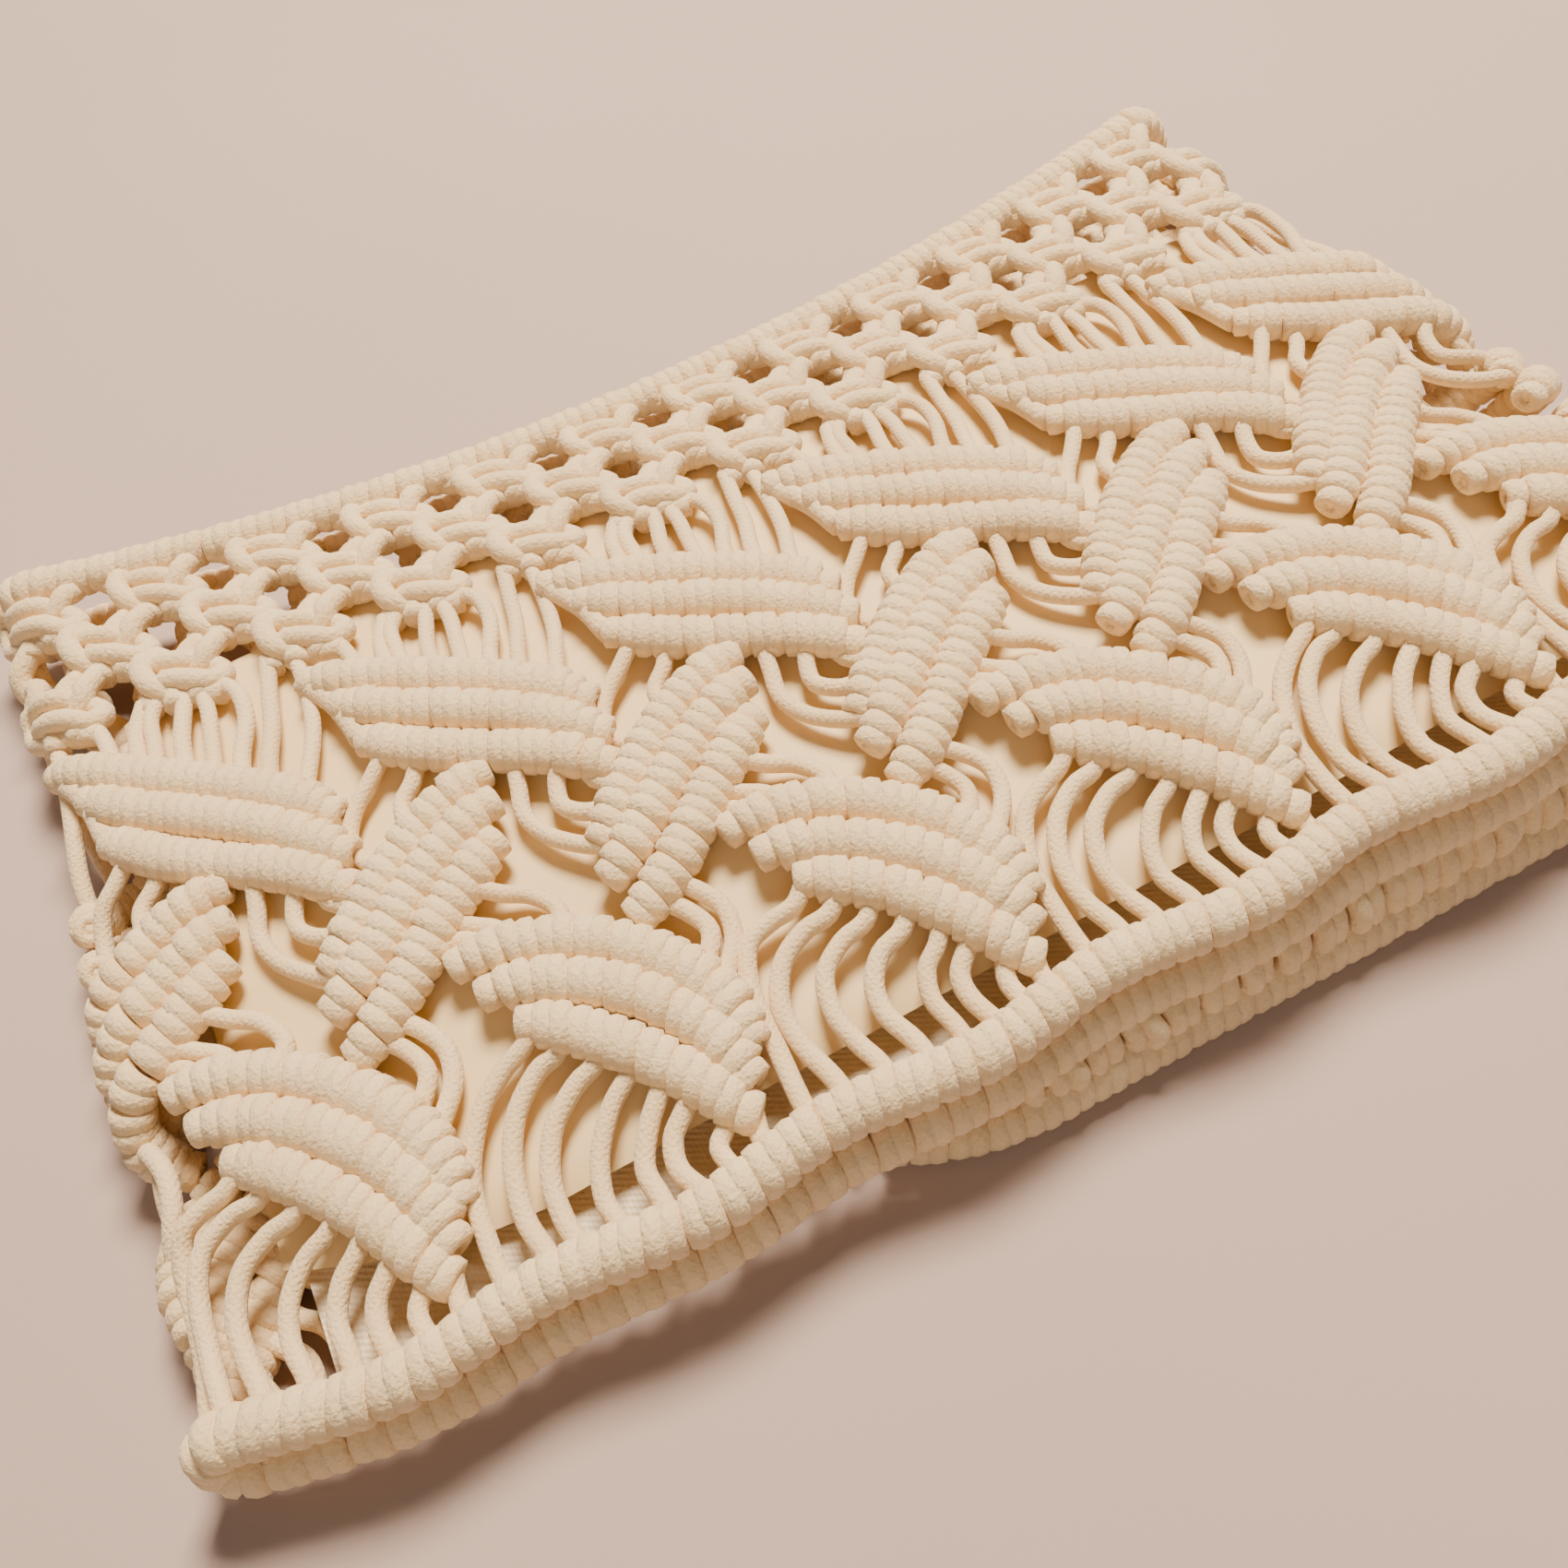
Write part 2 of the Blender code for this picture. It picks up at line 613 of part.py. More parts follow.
def add_lining_sheath(material, collection):
    """The smooth flat pouch behind the front: closed below and at its sides, open above."""
    half = BAG_WIDTH / 2 - LINING_SIDE
    low, high = level_y(LEVEL_LINING_LOW), level_y(LEVEL_LINING_HIGH)
    floor = LEAF_TOP + HALF_CORD + 2 * GAP + CLOTH_THICK
    shape = bmesh.new()
    bmesh.ops.create_cube(shape, size=1.0)
    cut_across(shape, 0, [-0.375, -0.25, -0.125, 0.0, 0.125, 0.25, 0.375])
    cut_across(shape, 1, [-0.3, -0.1, 0.1, 0.3])
    mouth = [face for face in shape.faces if face.calc_center_median().y > 0.49]
    bmesh.ops.delete(shape, geom=mouth, context="FACES_ONLY")
    for vert in shape.verts:
        x = 2 * half * vert.co.x
        y = mix(low, high, vert.co.y + 0.5)
        z = inner_front(x, y) - LINING_SEAT if vert.co.z > 0 else floor
        vert.co = (x, y, z)
    bmesh.ops.recalc_face_normals(shape, faces=shape.faces)
    mesh = bpy.data.meshes.new("lining_sheath")
    shape.to_mesh(mesh)
    shape.free()
    obj = add_object("lining_sheath", mesh, material, collection)
    wall = obj.modifiers.new("wall", "SOLIDIFY")
    wall.thickness = LINING_WALL
    wall.offset = -1.0
    return obj


def add_backing_cloth(material, collection):
    """The woven cloth on the inside of the back."""
    half = BAG_WIDTH / 2 - CLOTH_SIDE
    low, high = level_y(LEVEL_CLOTH_LOW), level_y(LEVEL_CLOTH_HIGH)
    floor = LEAF_TOP + HALF_CORD + GAP
    bpy.ops.mesh.primitive_cube_add(size=1.0, location=(0.0, (low + high) / 2, floor + CLOTH_THICK / 2))
    obj = bpy.context.object
    obj.name = "backing_cloth"
    obj.data.name = "backing_cloth"
    obj.scale = (2 * half, high - low, CLOTH_THICK)
    for owner in list(obj.users_collection):
        owner.objects.unlink(obj)
    collection.objects.link(obj)
    obj.data.materials.append(material)
    return obj


def build_bag():
    """Model every piece of the bag."""
    for obj in list(bpy.data.objects):
        bpy.data.objects.remove(obj)
    collection = bpy.data.collections.new("macrame_bag")
    bpy.context.scene.collection.children.link(collection)
    cotton = new_material("cotton_cord", CREAM, 0.9)
    sheath = new_material("lining_sheet", BEIGE, 0.6)
    satin = new_material("satin_weave", SATIN, 0.6)
    sides = (("front", LEFT_FOLD, FAN_GAPS_FRONT), ("back", RIGHT_FOLD, FAN_GAPS_BACK))
    for side, first_turn, fan_gaps in sides:
        add_side(side, first_turn, fan_gaps, cotton, collection)
        points = mouth_rib_points(first_turn)
        add_rib(f"mouth_rib_{side}", points, [1.0] * len(points), cotton, collection)
        points = bottom_rib_points(side == "back")
        add_rib(f"bottom_rib_{side}", points, [1.0] * len(points), cotton, collection)
    points = [gusset_point(x) for x in gusset_places()]
    radii = [0.6, 0.8] + [1.0] * (len(points) - 2)
    add_rib("gusset_rib", points, radii, cotton, collection)
    add_gusset_cords(cotton, collection)
    for kind, leaf in LEAVES.items():
        for turn in range(2 * REPEATS_FRONT):
            add_leaf(f"{kind}_{turn + 1:02d}", leaf, turn, cotton, collection)
    add_lining_sheath(sheath, collection)
    add_backing_cloth(satin, collection)


build_bag()
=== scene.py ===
"""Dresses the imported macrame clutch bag.

The bag is one tube of knotted cotton cord, twelve repeats round, pressed flat, with a
smooth pouch and a woven cloth inside. Places on it are given as a turn round the tube
in repeats, a level up the pattern, and an offset outward from the middle of the net.
All sizes are in metres.
"""

import logging
import math
import random
from dataclasses import dataclass, field
from enum import Enum
from typing import Iterable, Sequence

import bpy
import numpy as np
from mathutils import Matrix, Vector


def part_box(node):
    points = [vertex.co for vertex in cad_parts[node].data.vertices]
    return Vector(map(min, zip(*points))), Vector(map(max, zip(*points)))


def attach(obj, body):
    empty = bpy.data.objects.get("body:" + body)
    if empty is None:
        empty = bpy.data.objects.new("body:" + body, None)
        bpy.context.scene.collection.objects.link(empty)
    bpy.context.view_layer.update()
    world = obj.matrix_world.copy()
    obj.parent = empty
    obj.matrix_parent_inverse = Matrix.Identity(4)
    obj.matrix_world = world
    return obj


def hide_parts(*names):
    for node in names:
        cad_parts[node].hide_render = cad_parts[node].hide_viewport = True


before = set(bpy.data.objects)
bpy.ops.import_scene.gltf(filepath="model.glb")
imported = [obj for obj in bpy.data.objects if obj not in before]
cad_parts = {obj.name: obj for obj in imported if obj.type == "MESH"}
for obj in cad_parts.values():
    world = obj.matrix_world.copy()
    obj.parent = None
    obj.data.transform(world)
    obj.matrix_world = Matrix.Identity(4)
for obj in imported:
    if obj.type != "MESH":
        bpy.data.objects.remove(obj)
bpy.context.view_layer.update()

LOG = logging.getLogger("macrame_bag")
MM = 0.001
ROOT = "root"

Point = Sequence[float]


class Side(Enum):
    """The two sides of the pressed tube, and the turn at which each starts."""

    FRONT = -0.5
    BACK = 5.5

    @property
    def word(self) -> str:
        """The side's word in the names of nodes and pieces."""
        return self.name.lower()


class End(Enum):
    """The two folded ends of the bag along X."""

    LEFT = -1
    RIGHT = 1


def mix(a: float, b: float, share: float) -> float:
    """The value a share of the way from a to b."""
    return a + (b - a) * share


def bell(share: float) -> float:
    """0 at both ends of a run and 1 in its middle."""
    return 4 * share * (1 - share)


@dataclass(frozen=True)
class BagForm:
    """The pressed tube: where a turn, a level and an offset lie in the bag's frame."""

    width: float = 0.283
    repeats: int = 6
    pitch: float = 0.047
    thick_mid: float = 0.030
    thick_bottom_left: float = 0.0186
    thick_bottom_right: float = 0.029
    thick_mouth_mid: float = 0.0235
    thick_mouth_end: float = 0.025
    mouth_bow: float = 0.022
    cord: float = 0.003
    rib: float = 0.0072
    gap: float = 0.0003
    leaf_base: float = 0.0023
    leaf_top: float = 0.006
    level_bottom: float = -1.107
    level_mouth: float = 2.304
    fold_share: float = 0.2
    gusset_start: float = 1.65
    gusset_out_start: float = 0.0054
    gusset_out_end: float = 0.0072
    lean: float = 0.0026
    mouth_press: float = 0.0065
    press_start: float = 0.6
    press_power: int = 10
    mouth_lift: float = 0.04
    corner_rise: float = 0.0065
    corner_run: float = 0.045

    @property
    def y_shift(self) -> float:
        """The Y of level 0 at the middle of the bag."""
        reach = self.mouth_bow * ((self.width - self.rib) / self.width) ** 2
        middle = (self.level_mouth + self.level_bottom) * self.pitch / 2
        return -middle - (reach - self.gusset_out_end) / 2

    def share(self, level: float) -> float:
        """How far up the bag a level lies, 0 at the bottom rib and 1 at the mouth rib."""
        return (level - self.level_bottom) / (self.level_mouth - self.level_bottom)

    def thickness(self, across: float, share: float) -> float:
        """Thickness over both sides.

        Args:
            across: Place along the bag, -1 to 1.
            share: Place up the bag, 0 to 1.

        Returns:
            The thickness there.
        """
        bottom = mix(self.thick_bottom_left, self.thick_bottom_right, (across + 1) / 2)
        mouth = mix(self.thick_mouth_mid, self.thick_mouth_end, across**2)
        corners = self.thick_bottom_left + self.thick_bottom_right + 2 * self.thick_mouth_mid
        crown = self.thick_mid - corners / 4
        return mix(bottom, mouth, share) + crown * bell(share) * (1 - across**2)

    def fold_radius(self, end: End, share: float) -> float:
        """Radius of the net's middle where it folds over at one end."""
        return self.thickness(end.value, share) / 2 - self.leaf_top

    def along_front(self, turn: float) -> float:
        """Rough place along X of a turn on the front."""
        share = (turn - Side.FRONT.value) / self.repeats
        return mix(-1.0, 1.0, share) * (self.width / 2 - self.leaf_top)

    def gusset_out(self, x: float) -> float:
        """How far the gusset stands out from the bottom rib at a place along X.

        Args:
            x: The place.

        Returns:
            The distance from the bottom rib's centre.
        """
        start = self.along_front(self.gusset_start)
        share = (x - start) / (self.width / 2 - self.rib - start)
        return mix(self.gusset_out_start, self.gusset_out_end, max(0.0, min(1.0, share)))

    def gusset_open(self, x: float) -> float:
        """0 where the back bottom rib lies against the net, 1 where it is clear of it.

        Args:
            x: Place along X.

        Returns:
            How open the gusset is there.
        """
        half = self.cord / 2
        needed = 2 * self.rib + self.leaf_top + half + 2 * (self.leaf_base - half)
        clear = self.thickness(x / (self.width / 2), 0.0) - needed
        share = max(0.0, min(1.0, clear / (self.rib / 4)))
        return share * share * (3 - 2 * share)

    def place(self, turn: float, level: float, out: float) -> Vector:
        """The point of a turn, a level and an offset outward.

        Args:
            turn: Place round the tube, in repeats.
            level: Pattern height, in pattern units.
            out: Offset outward from the middle of the net.

        Returns:
            The point in the bag's frame.
        """
        share = self.share(level)
        turn = (turn - Side.FRONT.value) % (2 * self.repeats)
        back = turn > self.repeats
        run = 2 * self.repeats - turn if back else turn
        end = End.LEFT if run < self.repeats / 2 else End.RIGHT
        radius = self.fold_radius(end, share)
        from_fold = min(run, self.repeats - run)
        flatness = min(1.0, from_fold / self.fold_share)
        reach = self.width / 2 - self.leaf_top
        if from_fold < self.fold_share:
            angle = math.pi / 2 * flatness
            lift = -math.sin(angle) if back else math.sin(angle)
            x = end.value * (reach - radius + (radius + out) * math.cos(angle))
            z = self.leaf_top + radius + (radius + out) * lift
        else:
            left = reach - self.fold_radius(End.LEFT, share)
            right = reach - self.fold_radius(End.RIGHT, share)
            flat = (run - self.fold_share) / (self.repeats - 2 * self.fold_share)
            x = mix(-left, right, flat)
            z = self.leaf_top - out
            if not back:
                z = self.thickness(x / (left if x < 0 else right), share) - self.leaf_top + out
        across = x / (self.width / 2)
        y = self.y_shift + level * self.pitch + self.mouth_bow * across**2 * max(share, 0.0)
        y += self.corner(x) * max(0.0, 1 - share) ** 2
        if back:
            y -= self.gusset_out(x) * self.gusset_open(x) * flatness * max(0.0, 1 - share) ** 3
            z += self.pressed(across, share) * flatness
        return Vector((x, y, z))

    def outward(self, turn: float, level: float) -> Vector:
        """The direction straight out of the net at a turn and a level."""
        return (self.place(turn, level, MM) - self.place(turn, level, 0.0)).normalized()

    def corner(self, x: float) -> float:
        """How far the bottom edge curves up toward its left end, at a place along X."""
        near = max(0.0, (self.corner_run - self.width / 2 - x) / self.corner_run)
        return self.corner_rise * near * near

    def pressed(self, across: float, share: float) -> float:
        """How far the back is pressed up toward the front near the mouth."""
        near = max(0.0, (share - self.press_start) / (1 - self.press_start))
        return self.mouth_press * near * near * (1 - across**self.press_power)

    def front_bottom(self, x: float) -> Vector:
        """Centre of the front bottom rib at a place along X."""
        y = self.y_shift + self.level_bottom * self.pitch + self.corner(x)
        return Vector((x, y, self.thickness(x / (self.width / 2), 0.0) - self.rib / 2))

    def inner_front(self, x: float, y: float) -> float:
        """Height of the underside of the front net above a point of the floor.

        Args:
            x: The point's place along X.
            y: The point's place along Y.

        Returns:
            The height there.
        """
        across = x / (self.width / 2)
        rise = (self.level_mouth - self.level_bottom) * self.pitch + self.mouth_bow * across**2
        share = (y - self.y_shift - self.level_bottom * self.pitch) / rise
        return self.thickness(across, share) - self.leaf_top - self.cord / 2

    def level_y(self, level: float) -> float:
        """The Y of a level at the middle of the bag."""
        return self.y_shift + level * self.pitch


def smooth_line(points: Sequence[Point], spans: int | Sequence[int]) -> np.ndarray:
    """A smooth line through points.

    Args:
        points: The points that the line goes through.
        spans: How many steps each stretch between two points takes, one number or one each.

    Returns:
        The line's points, one row each.
    """
    spans = [spans] * (len(points) - 1) if isinstance(spans, int) else spans
    known = np.array(points, float)
    known = np.vstack([2 * known[0] - known[1], known, 2 * known[-1] - known[-2]])
    line = []
    for i, count in enumerate(spans):
        a, b, c, d = known[i : i + 4]
        for k in range(count):
            t = k / count
            line.append(
                b
                + 0.5 * t * (c - a + t * (2 * a - 5 * b + 4 * c - d + t * (3 * (b - c) + d - a)))
            )
    line.append(known[-2])
    return np.array(line)


def even_line(line: np.ndarray, step: float) -> tuple[np.ndarray, np.ndarray]:
    """Points spaced evenly along a line.

    Args:
        line: The line's points, one row each.
        step: The spacing.

    Returns:
        The new points, and the share of the line's length at each.
    """
    lengths = np.linalg.norm(np.diff(line, axis=0), axis=1)
    runs = np.concatenate([[0.0], np.cumsum(lengths)])
    count = max(2, round(runs[-1] / step) + 1)
    wanted = np.linspace(0.0, runs[-1], count)
    points = np.stack([np.interp(wanted, runs, line[:, k]) for k in range(3)], axis=1)
    return points, wanted / runs[-1]


def directions(line: np.ndarray) -> np.ndarray:
    """The unit direction of a line at each of its points."""
    along = np.gradient(line, axis=0)
    return along / np.linalg.norm(along, axis=1)[:, None]


@dataclass
class CordWork:
    """Gathers the swept cords and wraps of one piece and makes them one mesh."""

    name: str
    corners: list[np.ndarray] = field(default_factory=list)
    faces: list[np.ndarray] = field(default_factory=list)
    flats: list[np.ndarray] = field(default_factory=list)
    tones: list[np.ndarray] = field(default_factory=list)
    count: int = 0

    def add(self, corners: np.ndarray, faces: np.ndarray, flats: np.ndarray, tone: float) -> None:
        """Take in one shape.

        Args:
            corners: Its points, one row each.
            faces: Its four-sided faces, as rows of point numbers.
            flats: The map place of each corner of each face.
            tone: Its place between the darkest and the lightest cord, 0 to 1.
        """
        self.corners.append(np.column_stack([corners[:, :2], np.maximum(corners[:, 2], 0.0)]))
        self.faces.append(faces + self.count)
        self.flats.append(flats)
        self.tones.append(np.full(len(corners), tone))
        self.count += len(corners)

    def cord(
        self,
        line: np.ndarray,
        radius: float | np.ndarray,
        tone: float,
        sides: int = 10,
    ) -> None:
        """Sweep a round cord along a line.

        Args:
            line: The cord's centre line, one row a point.
            radius: The cord's radius, one for all or one a point.
            tone: Its place between the darkest and the lightest cord.
            sides: Corners round the cord.
        """
        along = directions(line)
        radii = np.broadcast_to(np.asarray(radius, float), (len(line),))
        across = np.cross(along[0], (0.0, 0.0, 1.0) if abs(along[0][2]) < 0.9 else (1.0, 0.0, 0.0))
        angles = np.linspace(0.0, 2 * math.pi, sides, endpoint=False)
        rings = []
        for point, heading, thick in zip(line, along, radii):
            across = across - heading * (across @ heading)
            across /= np.linalg.norm(across)
            up = np.cross(heading, across)
            rings.append(
                point + thick * (np.outer(np.cos(angles), across) + np.outer(np.sin(angles), up))
            )
        runs = np.concatenate([[0.0], np.cumsum(np.linalg.norm(np.diff(line, axis=0), axis=1))])
        runs /= 2 * math.pi * float(radii.mean())
        low = np.arange(len(line) - 1)[:, None] * sides + np.arange(sides)[None, :]
        nextward = (np.arange(sides) + 1) % sides - np.arange(sides)
        faces = np.stack([low, low + sides, low + sides + nextward, low + nextward], axis=-1)
        turn = np.arange(sides) / sides
        first = np.broadcast_to(runs[:-1, None], low.shape)
        last = np.broadcast_to(runs[1:, None], low.shape)
        here = np.broadcast_to(turn[None, :], low.shape)
        there = here + 1 / sides
        flats = np.stack(
            [
                np.stack([first, here], -1),
                np.stack([last, here], -1),
                np.stack([last, there], -1),
                np.stack([first, there], -1),
            ],
            axis=2,
        )
        faces = faces.reshape(-1, 4)
        flats = flats.reshape(-1, 4, 2)
        half = sides // 2
        cap = [(j, j + 1, sides - 2 - j, sides - 1 - j) for j in range(half - 1)]
        cap = np.array(cap)
        base = (len(line) - 1) * sides
        faces = np.vstack([faces, cap, cap[:, ::-1] + base])
        flats = np.concatenate([flats, np.zeros((2 * len(cap), 4, 2))])
        self.add(np.vstack(rings), faces, flats, tone)

    def build(self, material: bpy.types.Material) -> bpy.types.Object:
        """Make the gathered shapes one smooth object.

        Args:
            material: The finish of the whole piece.

        Returns:
            The new object, at the origin.
        """
        corners = np.vstack(self.corners).astype(np.float32)
        faces = np.vstack(self.faces).astype(np.int32)
        mesh = bpy.data.meshes.new(self.name)
        mesh.vertices.add(len(corners))
        mesh.vertices.foreach_set("co", corners.ravel())
        mesh.loops.add(faces.size)
        mesh.loops.foreach_set("vertex_index", faces.ravel())
        mesh.polygons.add(len(faces))
        mesh.polygons.foreach_set("loop_start", np.arange(0, faces.size, 4, dtype=np.int32))
        layer = mesh.uv_layers.new(name="UVMap")
        layer.data.foreach_set("uv", np.concatenate(self.flats).astype(np.float32).ravel())
        tone = mesh.attributes.new("tone", "FLOAT", "POINT")
        tone.data.foreach_set("value", np.concatenate(self.tones).astype(np.float32))
        mesh.update(calc_edges=True)
        mesh.validate()
        mesh.shade_smooth()
        mesh.materials.append(material)
        piece = bpy.data.objects.new(self.name, mesh)
        bpy.context.scene.collection.objects.link(piece)
        return piece


@dataclass
class Wrap:
    """One turn of cord round a rib, modelled once and copied along every rib."""

    ring_radius: float = 2.15 * MM
    cord_radius: float = 1.5 * MM
    ring_steps: int = 15
    cord_steps: int = 8
    fullness: float = 3.1
    flattening: float = 0.96

    def __post_init__(self) -> None:
        """Model the turn of cord and keep its mesh's numbers."""
        bpy.ops.object.select_all(action="DESELECT")
        bpy.ops.mesh.primitive_torus_add(
            major_segments=self.ring_steps,
            minor_segments=self.cord_steps,
            major_radius=self.ring_radius,
            minor_radius=self.cord_radius,
        )
        ring = bpy.context.object
        bpy.ops.object.mode_set(mode="EDIT")
        bpy.ops.mesh.select_all(action="SELECT")
        bpy.ops.mesh.normals_make_consistent(inside=False)
        bpy.ops.object.mode_set(mode="OBJECT")
        mesh = ring.data
        corners = np.array([vert.co for vert in mesh.vertices])
        self.corners = self.squeezed(corners)
        self.faces = np.array([face.vertices[:] for face in mesh.polygons])
        flats = np.array([spot.uv[:] for spot in mesh.uv_layers[0].data]).reshape(-1, 4, 2)
        flats[..., 0] *= self.ring_radius / self.cord_radius
        self.flats = flats
        bpy.data.objects.remove(ring)
        bpy.data.meshes.remove(mesh)

    def squeezed(self, corners: np.ndarray) -> np.ndarray:
        """Press the round cord against its neighbours, so that its section is a pillow.

        Args:
            corners: The round turn's corners, one row each.

        Returns:
            The pressed turn's corners.
        """
        reach = np.hypot(corners[:, 0], corners[:, 1])
        around = corners[:, :2] / reach[:, None]
        radial = (reach - self.ring_radius) / self.cord_radius
        axial = corners[:, 2] / self.cord_radius
        power = self.fullness
        swell = (np.abs(radial) ** power + np.abs(axial) ** power) ** (-1 / power)
        radial = radial * swell * self.flattening
        axial = axial * swell
        reach = self.ring_radius + radial * self.cord_radius
        return np.column_stack([around * reach[:, None], axial * self.cord_radius])


@dataclass
class RibMaker:
    """Lays wraps and a core cord along a rib's centre line."""

    wrap: Wrap
    dice: random.Random
    pitch: float = 2.85 * MM
    core_radius: float = 1.35 * MM
    core_tone: float = 0.5
    core_sides: int = 8
    pairing: float = 0.06
    place_play: float = 0.07
    size_play: tuple[float, float] = (0.975, 1.03)
    lean_play: float = 0.06
    rise_play: float = 0.12 * MM
    breadth: float = 1.13
    bulk: float = 1.22

    def lay(
        self,
        work: CordWork,
        line: np.ndarray,
        outs: np.ndarray,
        sizes: np.ndarray,
        lean: float,
    ) -> None:
        """Wrap a rib.

        Args:
            work: The piece that the rib goes into.
            line: The rib's centre line, one row a point.
            outs: The outward direction at each of those points.
            sizes: The rib's size at each point, as a share of its full size.
            lean: How far the wraps lean in the surface.
        """
        runs = np.concatenate([[0.0], np.cumsum(np.linalg.norm(np.diff(line, axis=0), axis=1))])
        count = max(2, round(runs[-1] / self.pitch))
        along = directions(line)
        spacing = runs[-1] / count
        for k in range(count):
            pair = self.pairing if k % 2 else -self.pairing
            where = (k + 0.5 + pair + self.dice.uniform(-self.place_play, self.place_play)) * spacing
            point = np.array([np.interp(where, runs, line[:, a]) for a in range(3)])
            heading = np.array([np.interp(where, runs, along[:, a]) for a in range(3)])
            out = np.array([np.interp(where, runs, outs[:, a]) for a in range(3)])
            size = float(np.interp(where, runs, sizes)) * self.dice.uniform(*self.size_play)
            heading /= np.linalg.norm(heading)
            out -= heading * (out @ heading)
            out /= np.linalg.norm(out)
            side = np.cross(heading, out)
            angle = lean + self.dice.uniform(-self.lean_play, self.lean_play)
            axis = math.cos(angle) * heading + math.sin(angle) * side
            wide = (math.cos(angle) * side - math.sin(angle) * heading) * self.breadth
            bulk = spacing / self.pitch * self.bulk
            basis = np.stack([out * size, wide * size / math.cos(angle), axis * bulk], axis=1)
            point = point + out * self.dice.uniform(-self.rise_play, self.rise_play)
            corners = self.wrap.corners @ basis.T + point
            work.add(corners, self.wrap.faces, self.wrap.flats, self.dice.random())
        work.cord(line, self.core_radius, self.core_tone, sides=self.core_sides)


@dataclass(frozen=True)
class Leaf:
    """A leaf of three wrapped ribs, each through a few points of the pattern."""

    word: str
    ribs: tuple[tuple[tuple[float, float], ...], ...]
    lean: float
    tied: bool = False

    def rib_line(self, rib: Sequence[Point], step: float = 0.04) -> np.ndarray:
        """The rib's centre line in the pattern.

        Args:
            rib: The points that the rib goes through.
            step: The spacing of the line's points, in pattern units.

        Returns:
            A row for each point: turn, level and share of the rib's run.
        """
        points = [(x, y, 0.0) for x, y in rib]
        line, shares = even_line(smooth_line(points, 6), step)
        return np.column_stack([line[:, 0], line[:, 1], shares])


UPPER_LEAF = Leaf(
    "upper_leaf",
    (
        ((-0.40, 1.38), (-0.14, 1.24), (0.08, 1.11), (0.29, 0.965), (0.46, 0.82), (0.56, 0.70)),
        ((-0.31, 1.20), (-0.13, 1.055), (0.11, 0.905), (0.335, 0.74), (0.49, 0.59), (0.55, 0.52)),
        ((-0.27, 0.99), (-0.10, 0.84), (0.11, 0.705), (0.31, 0.58), (0.45, 0.46), (0.51, 0.39)),
    ),
    -0.30,
    tied=True,
)
MIDDLE_LEAF = Leaf(
    "middle_leaf",
    (
        ((0.10, 0.62), (-0.05, 0.58), (-0.22, 0.49), (-0.40, 0.355), (-0.55, 0.22), (-0.66, 0.12)),
        ((0.08, 0.48), (-0.05, 0.425), (-0.25, 0.305), (-0.45, 0.15), (-0.60, 0.035), (-0.70, -0.03)),
        ((0.03, 0.33), (-0.10, 0.235), (-0.25, 0.12), (-0.42, -0.03), (-0.57, -0.14), (-0.68, -0.20)),
    ),
    0.22,
)
LOWER_LEAF = Leaf(
    "lower_leaf",
    (
        (
            (-0.28, -0.05),
            (-0.05, -0.08),
            (0.15, -0.17),
            (0.32, -0.32),
            (0.43, -0.49),
            (0.475, -0.64),
            (0.475, -0.77),
        ),
        ((-0.22, -0.19), (-0.02, -0.25), (0.17, -0.38), (0.31, -0.54), (0.40, -0.71), (0.42, -0.87)),
        ((-0.14, -0.33), (0.01, -0.445), (0.16, -0.60), (0.30, -0.80), (0.385, -0.96)),
    ),
    -0.30,
)


